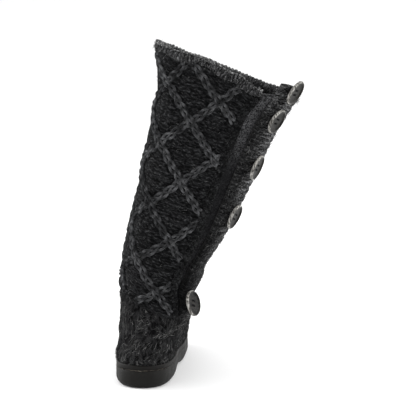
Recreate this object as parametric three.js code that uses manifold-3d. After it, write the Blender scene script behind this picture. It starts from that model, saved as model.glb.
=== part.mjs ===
import * as THREE from "three";
import { mergeVertices } from "three/addons/utils/BufferGeometryUtils.js";
import Module from "manifold-3d";

// Knee-high knit boot for the right foot. Millimetres, +Z up, toe towards -Y, outer side towards -X.
// The origin is on the floor under the middle of the heel.

// Sole
const SOLE_LENGTH = 264;
const HEEL_REACH = 34; // from the origin back to the heel's edge
const BALL_WIDTH = 82;
const HEEL_THICKNESS = 20;
const FOREFOOT_THICKNESS = 16;
const TOE_SPRING = 8;
const ARCH_RISE = 3;
const SOLE_EDGE_RADIUS = 8;
const SOLE_LIP_RADIUS = 1.2;
const LUG_PITCH = 15;
const GROOVE_WIDTH = 4;
const GROOVE_DEPTH = 2.5;
const TREAD_MARGIN = 14;
const SPINE_DRIFT = 8; // how far the toe's middle lies to the inner side

// Foot
const WALL = 3;
const FOXING_HEIGHT = 6.5;
const FOXING_THICKNESS = 1.5;
const INSOLE_THICKNESS = 4;
const HEM_HEIGHT_BACK = 85;
const HEM_HEIGHT_FRONT = 104;
const HEM_TILT = 25; // degrees, inner side higher
const HEM_SHIFT = 11.8; // how far the ankle's middle lies to the outer side
const COUNTER_STEP = 1;
const COUNTER_RUN = 12; // degrees over which the counter's step fades
const COUNTER_EDGE_SOLE = 78; // degrees from the back to the counter's edge
const COUNTER_EDGE_HEM = 34;
const FOOT_SQUARENESS = 2.6; // power of the rounded sections: 2 is an ellipse

// Shaft
const COLLAR_HEIGHT_BACK = 346;
const COLLAR_HEIGHT_FRONT = 333;
const COLLAR_WIDTH = 160;
const COLLAR_BACK = 10; // y of the collar's back
const COLLAR_FRONT = 74; // how far the collar's front lies before the origin
const COLLAR_TILT = 20.5;
const COLLAR_SHIFT = 87;
const SHAFT_TURN = 4; // degrees, outer side turned to the back
const HEM_ROLL = 2.4;
const HEM_ROLL_HEIGHT = 9;
const HEM_SQUARENESS = 2.4;
const COLLAR_SQUARENESS = 2.6;

// Knit trellis
const DIAMOND_WIDTH = 64;
const DIAMOND_HEIGHT = 56;
const CABLE_RISE = 2.6;
const GRAIN_START = 85; // from the inner side back to a chain of crossings, at the hem
const GRAIN_DRIFT = -19; // what that distance changes up to the collar
const FIRST_CROSSING = 25; // height of the lowest crossing over the hem
const CELLS = 8; // facets across a diamond, and up it

// Slit, edge cable, button band, gusset and collar roll
const BAND_FRONT = 6; // from the outer side back to the band's front edge
const BAND_WIDTH = 36;
const BAND_THICKNESS = 5.5;
const BAND_TAB = 17; // how far the band stands above the collar
const SCALLOP_PITCH = 9;
const SCALLOP_DEPTH = 1.4;
const SLIT_TOP = 15;
const SLIT_BOTTOM = 3;
const SLIT_TAPER = 0.6; // power of the height by which the slit widens
const EDGE_CABLE_WIDTH = 9;
const EDGE_CABLE_RISE = 2.6;
const GUSSET_THICKNESS = 2.4;
const GUSSET_LAP = 12;
const GUSSET_DROP = 5;
const ROLL_DIAMETER = 9;

// Buttons
const BUTTON_DIAMETER = 29;
const BUTTON_THICKNESS = 4;
const BUTTON_RIM = 3.2;
const BUTTON_DISH = 1.6;
const SHANK_DIAMETER = 7;

const GAP = 0.3;
const LINING_GAP = 0.5;

const TOE_REACH = SOLE_LENGTH - HEEL_REACH;
const COLUMNS = 48;
const LINING_COLUMNS = 30;
const LINING_ROWS = 13;
const GUSSET_COLUMNS = 6;
const BAND_COLUMNS = 4;
const ROLL_SEGMENTS = 9;
const BUTTON_SEGMENTS = 20;
const SPINE_MARGIN = 0.12; // share of the sole between its ends and the spine's ends
const TREAD_SPINE_MARGIN = 0.16;

// Half outlines of the sole from heel to toe: station as a share of the length, and the distance
// from the spine to each side as a share of half the ball width.
const soleOutline = [
  { station: 0.0, lateral: 0, medial: 0 },
  { station: 0.019, lateral: 0.35, medial: 0.385 },
  { station: 0.075, lateral: 0.62, medial: 0.68 },
  { station: 0.2, lateral: 0.753, medial: 0.818 },
  { station: 0.4, lateral: 0.775, medial: 0.82 },
  { station: 0.6, lateral: 0.87, medial: 0.94 },
  { station: 0.79, lateral: 0.935, medial: 0.96 },
  { station: 0.94, lateral: 0.7, medial: 0.75 },
  { station: 1.0, lateral: 0, medial: 0 },
];

// Side view of the sole: stations where the arch, the toe spring and the thinner waist begin and end.
const soleProfile = {
  arch: { start: 0.27, full: 0.38, fades: 0.44, end: 0.56 },
  spring: { bottom: 0.76, top: 0.72 },
  thickness: { heel: 0.25, forefoot: 0.6 },
};

// Fields of tread lugs, by station.
const treadFields = [
  { from: 0.06, to: 0.27 },
  { from: 0.56, to: 0.84 },
];

// Sections of the foot from the feather edge to the hem. back and reach are shares of the heel's and
// the toe's reach, rise and lift of the hem's height over the sole behind and in front, shift of the
// ankle's shift, medial and lateral of half the ball width, tilt of the hem's tilt. oval goes from
// the sole's outline, 0, to a rounded section, 1. swing turns the heel to the outer side, in degrees.
const footSections = [
  {
    back: 0.925, rise: 0, reach: 0.988, lift: 0, shift: 0,
    medial: 0.95, lateral: 0.95, tilt: 0, oval: 0, swing: 0,
  },
  {
    back: 0.985, rise: 0.12, reach: 0.995, lift: 0.1, shift: 0.03,
    medial: 0.97, lateral: 0.96, tilt: 0, oval: 0, swing: 0.3,
  },
  {
    back: 1.02, rise: 0.3, reach: 0.98, lift: 0.3, shift: 0.2,
    medial: 0.99, lateral: 0.995, tilt: 0.03, oval: 0.1, swing: 1.1,
  },
  {
    back: 1.02, rise: 0.46, reach: 0.915, lift: 0.44, shift: 0.36,
    medial: 0.997, lateral: 0.984, tilt: 0.1, oval: 0.34, swing: 2,
  },
  {
    back: 0.99, rise: 0.6, reach: 0.8, lift: 0.54, shift: 0.6,
    medial: 1.005, lateral: 0.938, tilt: 0.24, oval: 0.62, swing: 1.8,
  },
  {
    back: 0.95, rise: 0.72, reach: 0.665, lift: 0.64, shift: 0.85,
    medial: 1.017, lateral: 0.875, tilt: 0.42, oval: 0.86, swing: 1.1,
  },
  {
    back: 0.9, rise: 0.83, reach: 0.535, lift: 0.755, shift: 1,
    medial: 1.036, lateral: 0.83, tilt: 0.62, oval: 1, swing: 0.4,
  },
  {
    back: 0.85, rise: 0.92, reach: 0.44, lift: 0.88, shift: 1,
    medial: 1.053, lateral: 0.805, tilt: 0.82, oval: 1, swing: 0,
  },
  {
    back: 0.81, rise: 1, reach: 0.385, lift: 1, shift: 1,
    medial: 1.033, lateral: 0.79, tilt: 1, oval: 1, swing: 0,
  },
];

// Sections of the shaft from above the hem to the collar, as shares of the way from the hem's values
// to the collar's. width and tilt are shares of the collar's own.
const shaftSections = [
  { up: 0.088, upFront: 0.114, back: 0.03, front: 0.655, shift: 0.001, width: 0.514, tilt: 1.027 },
  { up: 0.18, upFront: 0.232, back: 0.06, front: 1.0, shift: 0.097, width: 0.534, tilt: 0.83 },
  { up: 0.32, upFront: 0.377, back: 0.17, front: 1.2, shift: 0.303, width: 0.62, tilt: 0.708 },
  { up: 0.485, upFront: 0.522, back: 0.37, front: 1.34, shift: 0.494, width: 0.698, tilt: 0.708 },
  { up: 0.658, upFront: 0.671, back: 0.57, front: 1.34, shift: 0.672, width: 0.77, tilt: 0.78 },
  { up: 0.838, upFront: 0.842, back: 0.8, front: 1.2, shift: 0.862, width: 0.842, tilt: 0.93 },
  { up: 1, upFront: 1, back: 1, front: 1, shift: 1, width: 1, tilt: 1 },
];

// Slouch folds of the leg: height over the hem and half height as shares of a diamond's height,
// side as degrees round from the back over the outer side, half spread in degrees, depth in walls.
const legFolds = [
  { height: 0.24, reach: 0.165, side: 40, spread: 60, depth: 1.1 },
  { height: 0.61, reach: 0.14, side: 75, spread: 50, depth: -0.9 },
  { height: 0.73, reach: 0.235, side: 190, spread: 60, depth: -1.3 },
  { height: 0.24, reach: 0.21, side: 180, spread: 70, depth: 1.2 },
  { height: 0.53, reach: 0.19, side: 300, spread: 50, depth: -0.8 },
];

// Folds of the button band over the hem: height in diamonds, half height likewise, swell in bands.
const bandFolds = [
  { height: 0.28, reach: 0.13, swell: 0.5 },
  { height: 0.51, reach: 0.07, swell: -0.6 },
  { height: 0.75, reach: 0.165, swell: 0.8 },
];

// Buttons: height over the hem as a share of the shaft's height, place across the band from its rear
// edge, and the turn of the button's axis from the band's face to the outer side, in degrees.
const buttonPlaces = [
  { height: 1.055, place: 0.24, turn: 46 },
  { height: 0.91, place: 0.25, turn: 40 },
  { height: 0.69, place: 0.32, turn: 35 },
  { height: 0.47, place: 0.4, turn: 16 },
  { height: 0.082, place: 0.12, turn: 20 },
];

const radians = (degrees) => (degrees * Math.PI) / 180;
const mix = (a, b, share) => a + (b - a) * share;
const clamp = (value, low, high) => Math.min(high, Math.max(low, value));
const bell = (distance, reach) => Math.exp(-((distance / reach) ** 2));

function smooth(from, to, value) {
  const share = clamp((value - from) / (to - from), 0, 1);
  return share * share * (3 - 2 * share);
}

// A curve through values at rising stations that keeps rising where they rise, straight past its ends.
function curveThrough(stations, values) {
  const last = stations.length - 1;
  const slopes = stations.slice(1).map((s, i) => (values[i + 1] - values[i]) / (s - stations[i]));
  const tangents = values.map((_, i) => {
    if (i === 0) return slopes[0];
    if (i === last) return slopes[last - 1];
    const [before, after] = [slopes[i - 1], slopes[i]];
    return before * after <= 0 ? 0 : (2 * before * after) / (before + after);
  });
  return (s) => {
    if (s <= stations[0]) return values[0] + tangents[0] * (s - stations[0]);
    if (s >= stations[last]) return values[last] + tangents[last] * (s - stations[last]);
    let i = 0;
    while (s > stations[i + 1]) i += 1;
    const step = stations[i + 1] - stations[i];
    const x = (s - stations[i]) / step;
    const rise = x * x * (3 - 2 * x);
    const lead = x * (1 - x) * (1 - x);
    const tail = x * x * (x - 1);
    return mix(values[i], values[i + 1], rise) + step * (lead * tangents[i] + tail * tangents[i + 1]);
  };
}

// A column of the sole's outline as a smooth function of the turn from heel to toe, mirrored at both
// ends so that heel and toe come out round.
function outlineCurve(column, odd) {
  const steps = soleOutline.length - 1;
  const at = (i) => {
    const mirrored = i < 0 ? -i : i > steps ? 2 * steps - i : i;
    const value = soleOutline[mirrored][column];
    if (mirrored === i) return value;
    return odd ? -value : value;
  };
  return (turn) => {
    const place = (Math.abs(turn) / Math.PI) * steps;
    const i = Math.min(Math.floor(place), steps - 1);
    const x = place - i;
    const [a, b, c, d] = [at(i - 1), at(i), at(i + 1), at(i + 2)];
    const curve = 2 * b + (c - a) * x + (2 * a - 5 * b + 4 * c - d) * x * x;
    return 0.5 * (curve + (3 * b - 3 * c + d - a) * x * x * x);
  };
}

const outlineStation = outlineCurve("station", false);
const outlineLateral = outlineCurve("lateral", true);
const outlineMedial = outlineCurve("medial", true);

// Turns run from the back, 0, over the outer side, 90 degrees, to the front and the inner side.
const wrapTurn = (turn) => Math.atan2(Math.sin(turn), Math.cos(turn));
const isLateral = (turn) => Math.sin(turn) >= 0;
const spineShift = (station) => SPINE_DRIFT * smooth(0.5, 1, station);
const stationY = (station) => HEEL_REACH - SOLE_LENGTH * station;

function toeSpring(start, station) {
  return TOE_SPRING * clamp((station - start) / (1 - start), 0, 1.1) ** 2;
}

function soleBottom(station) {
  const { start, full, fades, end } = soleProfile.arch;
  const arch = ARCH_RISE * smooth(start, full, station) * (1 - smooth(fades, end, station));
  return arch + toeSpring(soleProfile.spring.bottom, station);
}

function soleTop(station) {
  const thinning = smooth(soleProfile.thickness.heel, soleProfile.thickness.forefoot, station);
  return mix(HEEL_THICKNESS, FOREFOOT_THICKNESS, thinning) + toeSpring(soleProfile.spring.top, station);
}

// The foot's and the shaft's sections, from shares to lengths.
const heelTop = soleTop(0);
const toeTop = soleTop(1);
const footRows = footSections.map((row) => ({
  backY: HEEL_REACH * row.back,
  backZ: mix(heelTop + GAP, HEM_HEIGHT_BACK, row.rise),
  frontY: -TOE_REACH * row.reach,
  frontZ: mix(toeTop + GAP, HEM_HEIGHT_FRONT, row.lift),
  shift: -HEM_SHIFT * row.shift,
  medial: (BALL_WIDTH / 2) * row.medial,
  lateral: (BALL_WIDTH / 2) * row.lateral,
  tilt: radians(HEM_TILT * row.tilt),
  oval: row.oval,
  square: FOOT_SQUARENESS,
  turn: -radians(row.swing),
}));
const hem = footRows[footRows.length - 1];
const shaftRows = shaftSections.map((row) => ({
  backY: mix(hem.backY, COLLAR_BACK, row.back),
  backZ: mix(HEM_HEIGHT_BACK, COLLAR_HEIGHT_BACK, row.up),
  frontY: mix(hem.frontY, -COLLAR_FRONT, row.front),
  frontZ: mix(HEM_HEIGHT_FRONT, COLLAR_HEIGHT_FRONT, row.upFront),
  shift: mix(hem.shift, -COLLAR_SHIFT, row.shift),
  medial: (COLLAR_WIDTH / 2) * row.width,
  lateral: (COLLAR_WIDTH / 2) * row.width,
  tilt: radians(COLLAR_TILT * row.tilt),
  oval: 1,
  square: mix(HEM_SQUARENESS, COLLAR_SQUARENESS, row.up),
  turn: radians(SHAFT_TURN * row.up),
}));

// Heights along the leg: each row lies as far above the last as its back and front moved on average.
const formRows = [...footRows, ...shaftRows];
const levels = [0];
formRows.slice(1).forEach((row, i) => {
  const last = formRows[i];
  const backStep = Math.hypot(row.backY - last.backY, row.backZ - last.backZ);
  const frontStep = Math.hypot(row.frontY - last.frontY, row.frontZ - last.frontZ);
  levels.push(levels[i] + (backStep + frontStep) / 2);
});
const HEM_LEVEL = levels[footRows.length - 1];
const COLLAR_LEVEL = levels[levels.length - 1];
const rowCurves = Object.keys(hem).map((column) => [
  column,
  curveThrough(
    levels,
    formRows.map((row) => row[column]),
  ),
]);
const rowCache = new Map();

function rowAt(level) {
  if (!rowCache.has(level)) rowCache.set(level, Object.fromEntries(rowCurves.map(([c, f]) => [c, f(level)])));
  return rowCache.get(level);
}

// The bare form of foot and leg, without walls, folds or relief.
function formPoint(level, turn) {
  const row = rowAt(level);
  const side = wrapTurn(turn);
  const [c, s] = [Math.cos(side), Math.abs(Math.sin(side))];
  const round = (Math.abs(c) ** row.square + s ** row.square) ** (-1 / row.square);
  const lateral = isLateral(side);
  const outline = lateral ? outlineLateral(side) : outlineMedial(side);
  const station = mix(outlineStation(side), (1 - round * c) / 2, row.oval);
  const half = mix(Math.max(outline, 0), round * s, row.oval) * (lateral ? row.lateral : row.medial);
  const across = (lateral ? -half : half) + spineShift(station) * (1 - row.oval);
  const along = (station - 0.5) * (row.frontY - row.backY);
  const x = across * Math.cos(row.turn) + along * Math.sin(row.turn);
  const y = along * Math.cos(row.turn) - across * Math.sin(row.turn);
  const sole = soleTop(station) - mix(heelTop, toeTop, station);
  return new THREE.Vector3(
    row.shift + x * Math.cos(row.tilt),
    (row.backY + row.frontY) / 2 + y,
    mix(row.backZ, row.frontZ, station) + sole * (1 - row.oval) + x * Math.sin(row.tilt),
  );
}

function formNormal(level, turn) {
  const [stepLevel, stepTurn] = [0.5, 0.01];
  const up = formPoint(level + stepLevel, turn).sub(formPoint(level - stepLevel, turn));
  const round = formPoint(level, turn + stepTurn).sub(formPoint(level, turn - stepTurn));
  return round.cross(up).normalize();
}

// Slouch folds push wall and relief out or in together.
function foldDepth(level, turn) {
  const height = (level - HEM_LEVEL) / DIAMOND_HEIGHT;
  return legFolds.reduce((sum, fold) => {
    const apart = wrapTurn(turn - radians(fold.side));
    const depth = fold.depth * WALL * bell(height - fold.height, fold.reach);
    return sum + depth * bell(apart, radians(fold.spread)) * smooth(0, 0.12, height);
  }, 0);
}

function skin(level, turn, offset) {
  const out = formNormal(level, turn).multiplyScalar(offset + foldDepth(level, turn));
  return formPoint(level, turn).add(out);
}

// Distances round a section of the leg, from the inner side over the back, to turns.
const TURN_STEPS = 180;
const girthCache = new Map();

function girthAt(level) {
  if (girthCache.has(level)) return girthCache.get(level);
  const turns = Array.from({ length: 2 * TURN_STEPS + 1 }, (_, i) => radians(-90 - 360 + i * 2));
  const lengths = [0];
  turns.slice(1).forEach((turn, i) => {
    lengths.push(lengths[i] + formPoint(level, turn).distanceTo(formPoint(level, turns[i])));
  });
  const zero = lengths[TURN_STEPS];
  const girth = { turns, lengths: lengths.map((length) => length - zero) };
  girthCache.set(level, girth);
  return girth;
}

function turnAt(level, distance) {
  const { turns, lengths } = girthAt(level);
  let [low, high] = [0, lengths.length - 1];
  while (high - low > 1) {
    const middle = (low + high) >> 1;
    if (lengths[middle] <= distance) low = middle;
    else high = middle;
  }
  return mix(turns[low], turns[high], (distance - lengths[low]) / (lengths[high] - lengths[low]));
}

function distanceAt(level, turn) {
  const { turns, lengths } = girthAt(level);
  const place = (turn - turns[0]) / (turns[1] - turns[0]);
  const i = clamp(Math.floor(place), 0, turns.length - 2);
  return mix(lengths[i], lengths[i + 1], place - i);
}

// Edges of the leg's panels at a level: distances back from the inner side.
function edgesAt(level) {
  const share = (level - HEM_LEVEL) / (COLLAR_LEVEL - HEM_LEVEL);
  const outerSide = distanceAt(level, radians(90));
  const around = distanceAt(level, radians(90)) - distanceAt(level, radians(90 - 360));
  const slit = mix(SLIT_BOTTOM, SLIT_TOP, clamp(share, 0, 1) ** SLIT_TAPER);
  const bandBack = outerSide - BAND_FRONT - BAND_WIDTH;
  return {
    panelBack: bandBack - slit,
    bandBack,
    bandFront: outerSide - BAND_FRONT,
    panelFront: outerSide - BAND_FRONT - around + GAP,
  };
}

const heightOver = (level) => level - HEM_LEVEL;
const grainAt = (level) => GRAIN_START + GRAIN_DRIFT * (heightOver(level) / (COLLAR_LEVEL - HEM_LEVEL));

// Height of the cables over the ground knit: 1 on a cable's middle, 0 a facet away from it.
function trellis(level, distance) {
  const across = (distance - grainAt(level)) / DIAMOND_WIDTH;
  const up = (heightOver(level) - FIRST_CROSSING) / DIAMOND_HEIGHT;
  const near = (value) => Math.abs(value - Math.round(value));
  return Math.max(1 - CELLS * near(across + up), 1 - CELLS * near(across - up), 0);
}

// Triangles of a closed shell, gathered patch by patch.
class Shell {
  constructor() {
    this.corners = [];
  }

  triangle(a, b, c) {
    this.corners.push(a, b, c);
  }

  // Rows run upwards and columns the way the turns run; the faces look outwards unless flipped.
  grid(rows, flipped = false, leans = () => true) {
    rows.slice(1).forEach((upper, j) => {
      const lower = rows[j];
      lower.slice(1).forEach((_, k) => {
        const quad = [lower[k], lower[k + 1], upper[k + 1], upper[k]];
        const [a, b, c, d] = flipped ? quad.reverse() : quad;
        const rising = flipped ? !leans(j, k) : leans(j, k);
        if (rising) {
          this.triangle(a, b, c);
          this.triangle(a, c, d);
        } else {
          this.triangle(a, b, d);
          this.triangle(b, c, d);
        }
      });
    });
  }

  // A strip between two lines of any number of points that run side by side.
  strip(first, second) {
    const shares = (line) => {
      const sums = [0];
      line.slice(1).forEach((point, i) => sums.push(sums[i] + point.distanceTo(line[i])));
      return sums.map((sum) => sum / sums[sums.length - 1]);
    };
    const [ahead, behind] = [shares(first), shares(second)];
    let [i, j] = [0, 0];
    while (i < first.length - 1 || j < second.length - 1) {
      const stepFirst = j === second.length - 1 || (i < first.length - 1 && ahead[i + 1] <= behind[j + 1]);
      if (stepFirst) {
        this.triangle(first[i], first[i + 1], second[j]);
        i += 1;
      } else {
        this.triangle(first[i], second[j + 1], second[j]);
        j += 1;
      }
    }
  }

  geometry() {
    const loose = new THREE.BufferGeometry().setFromPoints(this.corners);
    const merged = mergeVertices(loose, 1e-3);
    const index = Array.from(merged.index.array);
    const kept = [];
    for (let i = 0; i < index.length; i += 3) {
      const [a, b, c] = index.slice(i, i + 3);
      if (a !== b && b !== c && c !== a) kept.push(a, b, c);
    }
    merged.setIndex(kept);
    return merged;
  }
}

// A wall from an outer and an inner grid of rows, closed along its edges.
function wallShell(outer, inner, closed, leans) {
  const shell = new Shell();
  shell.grid(outer, false, leans);
  shell.grid(inner, true);
  shell.strip(outer[outer.length - 1], inner[inner.length - 1]);
  shell.strip(inner[0], outer[0]);
  if (!closed) {
    const start = (rows) => rows.map((row) => row[0]);
    const end = (rows) => rows.map((row) => row[row.length - 1]);
    shell.strip(start(outer), start(inner));
    shell.strip(end(inner), end(outer));
  }
  return shell.geometry();
}

const countUp = (count, make) => Array.from({ length: count + 1 }, (_, i) => make(i / count, i));
const turnsRound = countUp(COLUMNS, (share) => radians(360 * share));

// Outsole: rings from the middle of the tread round the side to the middle of the top.
function outlinePoint(turn, inset, z) {
  const plan = (angle) => {
    const side = wrapTurn(angle);
    const station = outlineStation(side);
    const half = (isLateral(side) ? -outlineLateral(side) : outlineMedial(side)) * (BALL_WIDTH / 2);
    return new THREE.Vector2(half + spineShift(station), stationY(station));
  };
  const along = plan(turn + 0.01).sub(plan(turn - 0.01)).normalize();
  const point = plan(turn).sub(new THREE.Vector2(along.y, -along.x).multiplyScalar(inset));
  const station = clamp((HEEL_REACH - point.y) / SOLE_LENGTH, 0, 1);
  return new THREE.Vector3(point.x, point.y, z(station));
}

function spinePoint(turn, z, margin) {
  const station = mix(margin, 1 - margin, outlineStation(wrapTurn(turn)));
  return new THREE.Vector3(spineShift(station), stationY(station), z(station));
}

function soleSolid(rings, spineMargin) {
  const shell = new Shell();
  const rows = [
    turnsRound.map((turn) => spinePoint(turn, rings[0].z, spineMargin)),
    ...rings.map(({ inset, z }) => turnsRound.map((turn) => outlinePoint(turn, inset, z))),
    turnsRound.map((turn) => spinePoint(turn, rings[rings.length - 1].z, spineMargin)),
  ];
  shell.grid(rows);
  return shell.geometry();
}

function outsoleRings() {
  const edge = [90, 60, 30, 0].map((degrees) => {
    const angle = radians(degrees);
    return {
      inset: SOLE_EDGE_RADIUS * (1 - Math.cos(angle)),
      z: (station) => soleBottom(station) + SOLE_EDGE_RADIUS * (1 - Math.sin(angle)),
    };
  });
  const lip = [
    { inset: 0, z: (station) => soleTop(station) - SOLE_LIP_RADIUS },
    { inset: SOLE_LIP_RADIUS, z: soleTop },
  ];
  const tread = { inset: TREAD_MARGIN, z: soleBottom };
  return [tread, ...edge, ...lip];
}

const wasm = await Module();
wasm.setup();

function solidOf(geometry) {
  const bare = geometry.clone();
  bare.deleteAttribute("normal");
  bare.deleteAttribute("uv");
  const merged = mergeVertices(bare, 1e-3);
  return new wasm.Manifold(
    new wasm.Mesh({
      numProp: 3,
      vertProperties: merged.attributes.position.array,
      triVerts: new Uint32Array(merged.index.array),
    }),
  );
}

function geometryOf(solid) {
  const mesh = solid.getMesh();
  return new THREE.BufferGeometry()
    .setAttribute("position", new THREE.BufferAttribute(new Float32Array(mesh.vertProperties), 3))
    .setIndex(new THREE.BufferAttribute(new Uint32Array(mesh.triVerts), 1));
}

// Tread: grooves across heel and forefoot that stop short of the edge, with a lug at the origin.
function outsole() {
  const body = solidOf(soleSolid(outsoleRings(), SPINE_MARGIN));
  const floor = () => -GROOVE_DEPTH;
  const field = solidOf(
    soleSolid(
      [
        { inset: TREAD_MARGIN, z: floor },
        { inset: TREAD_MARGIN, z: () => GROOVE_DEPTH },
      ],
      TREAD_SPINE_MARGIN,
    ),
  );
  const fitsTread = (y) => {
    const station = (HEEL_REACH - y) / SOLE_LENGTH;
    return treadFields.some(({ from, to }) => station > from && station < to);
  };
  const count = Math.ceil(SOLE_LENGTH / LUG_PITCH);
  const grooves = countUp(2 * count, (_, i) => (i - count + 0.5) * LUG_PITCH)
    .filter(fitsTread)
    .map((y) => {
      const bar = new THREE.BoxGeometry(BALL_WIDTH, GROOVE_WIDTH, 2 * GROOVE_DEPTH);
      return solidOf(bar.translate(0, y, 0));
    });
  return geometryOf(
    grooves.reduce((solid, groove) => solid.subtract(groove.intersect(field)), body),
  );
}

// Foot: the counter behind the side seams stands a step above the quarters.
const footHeights = [0, 0.03, 0.07, 0.14, 0.22, 0.32, 0.43, 0.55, 0.67, 0.79, 0.9, 1]; // shares of the hem's level

function counterStep(level, turn) {
  const share = level / HEM_LEVEL;
  const edge = radians(mix(COUNTER_EDGE_SOLE, COUNTER_EDGE_HEM, share));
  const side = Math.abs(wrapTurn(turn));
  return COUNTER_STEP * (1 - smooth(edge, edge + radians(COUNTER_RUN), side)) * smooth(0.02, 0.1, share);
}

function footRow(level, offset, flat) {
  return turnsRound.map((turn) => {
    const point = skin(level, turn, offset(level, turn));
    if (flat) point.z = formPoint(level, turn).z;
    return point;
  });
}

function footUpper() {
  const rows = footHeights.map((share) => share * HEM_LEVEL);
  const outer = rows.map((level, i) => footRow(level, counterStep, i === 0));
  const inner = rows.map((level, i) => footRow(level, () => -WALL, i === 0));
  return wallShell(outer, inner, true);
}

function foxing() {
  const rows = [0, FOXING_HEIGHT * 0.6, FOXING_HEIGHT];
  const side = (offset) => rows.map((level) => footRow(level, offset, level === 0));
  const clear = (level, turn) => counterStep(level, turn) + GAP;
  const outside = (level, turn) => clear(level, turn) + FOXING_THICKNESS;
  return wallShell(side(outside), side(clear), true);
}

function insole() {
  const shell = new Shell();
  const ring = (height) =>
    turnsRound.map((turn) => {
      const point = skin(0, turn, -WALL - LINING_GAP);
      point.z = formPoint(0, turn).z - GAP + LINING_GAP + height;
      return point;
    });
  const lift = (height) => (station) => soleTop(station) + LINING_GAP + height;
  const middle = (height) => turnsRound.map((turn) => spinePoint(turn, lift(height), SPINE_MARGIN));
  shell.grid([middle(0), ring(0), ring(INSOLE_THICKNESS), middle(INSOLE_THICKNESS)]);
  return shell.geometry();
}

// Shaft: the outer knit follows the trellis, so that every cable lies on edges of the facets.
function shaftLevels() {
  const step = DIAMOND_HEIGHT / CELLS;
  const first = HEM_LEVEL + FIRST_CROSSING - step * Math.floor((FIRST_CROSSING - GAP) / step);
  const rows = [];
  for (let level = first; level < COLLAR_LEVEL - step / 3; level += step) rows.push(level);
  return [HEM_LEVEL + GAP, ...rows.filter((level) => level > HEM_LEVEL + step / 3), COLLAR_LEVEL];
}

const liningLevels = countUp(LINING_ROWS, (share) => mix(HEM_LEVEL + GAP, COLLAR_LEVEL, share));

function knitOffset(level, distance, edges) {
  const hemRoll = HEM_ROLL * (1 - smooth(HEM_ROLL_HEIGHT * 0.5, HEM_ROLL_HEIGHT, heightOver(level)));
  const margin = smooth(0, EDGE_CABLE_WIDTH / 2, edges.panelBack - EDGE_CABLE_WIDTH - distance);
  const front = smooth(0, EDGE_CABLE_WIDTH / 2, distance - edges.panelFront);
  return hemRoll + CABLE_RISE * trellis(level, distance) * margin * front;
}

function shaftRow(level, first, last) {
  const edges = edgesAt(level);
  const step = DIAMOND_WIDTH / CELLS;
  const end = edges.panelBack - EDGE_CABLE_WIDTH;
  const points = [];
  for (let k = first; k <= last; k += 1) {
    const wanted = grainAt(level) + k * step;
    const low = wanted < edges.panelFront + step / 3 ? edges.panelFront : wanted;
    const distance = low > end - step / 3 ? end : low;
    points.push(skin(level, turnAt(level, distance), knitOffset(level, distance, edges)));
  }
  const ridge = [
    { place: 0.6, rise: 1 },
    { place: 1, rise: 0.5 },
  ];
  ridge.forEach(({ place, rise }) => {
    const distance = end + EDGE_CABLE_WIDTH * place;
    const hemRoll = knitOffset(level, distance, edges);
    points.push(skin(level, turnAt(level, distance), hemRoll + EDGE_CABLE_RISE * rise));
  });
  return points;
}

function liningRow(level, from, to, offset, count) {
  return countUp(count, (share) => skin(level, turnAt(level, mix(from, to, share)), offset));
}

function shaft() {
  const rows = shaftLevels();
  const step = DIAMOND_WIDTH / CELLS;
  const reach = rows.map((level) => ({ grain: grainAt(level), ...edgesAt(level) }));
  const first = Math.floor(Math.min(...reach.map((row) => (row.panelFront - row.grain) / step)));
  const last = Math.ceil(Math.max(...reach.map((row) => (row.panelBack - row.grain) / step)));
  const outer = rows.map((level) => shaftRow(level, first, last));
  const inner = liningLevels.map((level) => {
    const { panelFront, panelBack } = edgesAt(level);
    return liningRow(level, panelFront, panelBack, -WALL, LINING_COLUMNS);
  });
  const base = Math.round((rows[1] - HEM_LEVEL - FIRST_CROSSING) / (DIAMOND_HEIGHT / CELLS)) - 1;
  const fold = (value) => Math.abs(value - CELLS * Math.round(value / CELLS));
  const leans = (j, k) => fold(first + k - base - j) <= fold(first + k + base + j + 1);
  return wallShell(outer, inner, false, leans);
}

// Gusset: fleece behind the slit, lapped under both panels.
function gusset() {
  const top = COLLAR_LEVEL - GUSSET_DROP;
  const rows = [...liningLevels.filter((level) => level < top - GUSSET_DROP), top];
  const side = (offset) =>
    rows.map((level) => {
      const { panelBack, bandBack } = edgesAt(level);
      return liningRow(level, panelBack - GUSSET_LAP, bandBack + GUSSET_LAP, offset, GUSSET_COLUMNS);
    });
  const outside = -WALL - LINING_GAP;
  return wallShell(side(outside), side(outside - GUSSET_THICKNESS), false);
}

// Button band: a thick rib strip with a ridge and a scallop to each pitch.
const BAND_TOP = COLLAR_LEVEL + BAND_TAB;
const bandProfile = [
  { place: 0, rise: 0.45 },
  { place: 0.2, rise: 0.92 },
  { place: 0.5, rise: 1 },
  { place: 0.8, rise: 0.92 },
  { place: 1, rise: 0.5 },
];
const bandRise = curveThrough(
  bandProfile.map(({ place }) => place),
  bandProfile.map(({ rise }) => rise),
);

function bandSwell(level) {
  const height = heightOver(level) / DIAMOND_HEIGHT;
  return bandFolds.reduce((sum, fold) => sum + fold.swell * bell(height - fold.height, fold.reach), 0);
}

function bandOffset(level, place, ridge) {
  return BAND_THICKNESS * (bandRise(place) + bandSwell(level) * bandRise(place)) + ridge;
}

function bandDistance(level, place) {
  const { bandBack, bandFront } = edgesAt(level);
  return mix(bandBack, bandFront, place);
}

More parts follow.
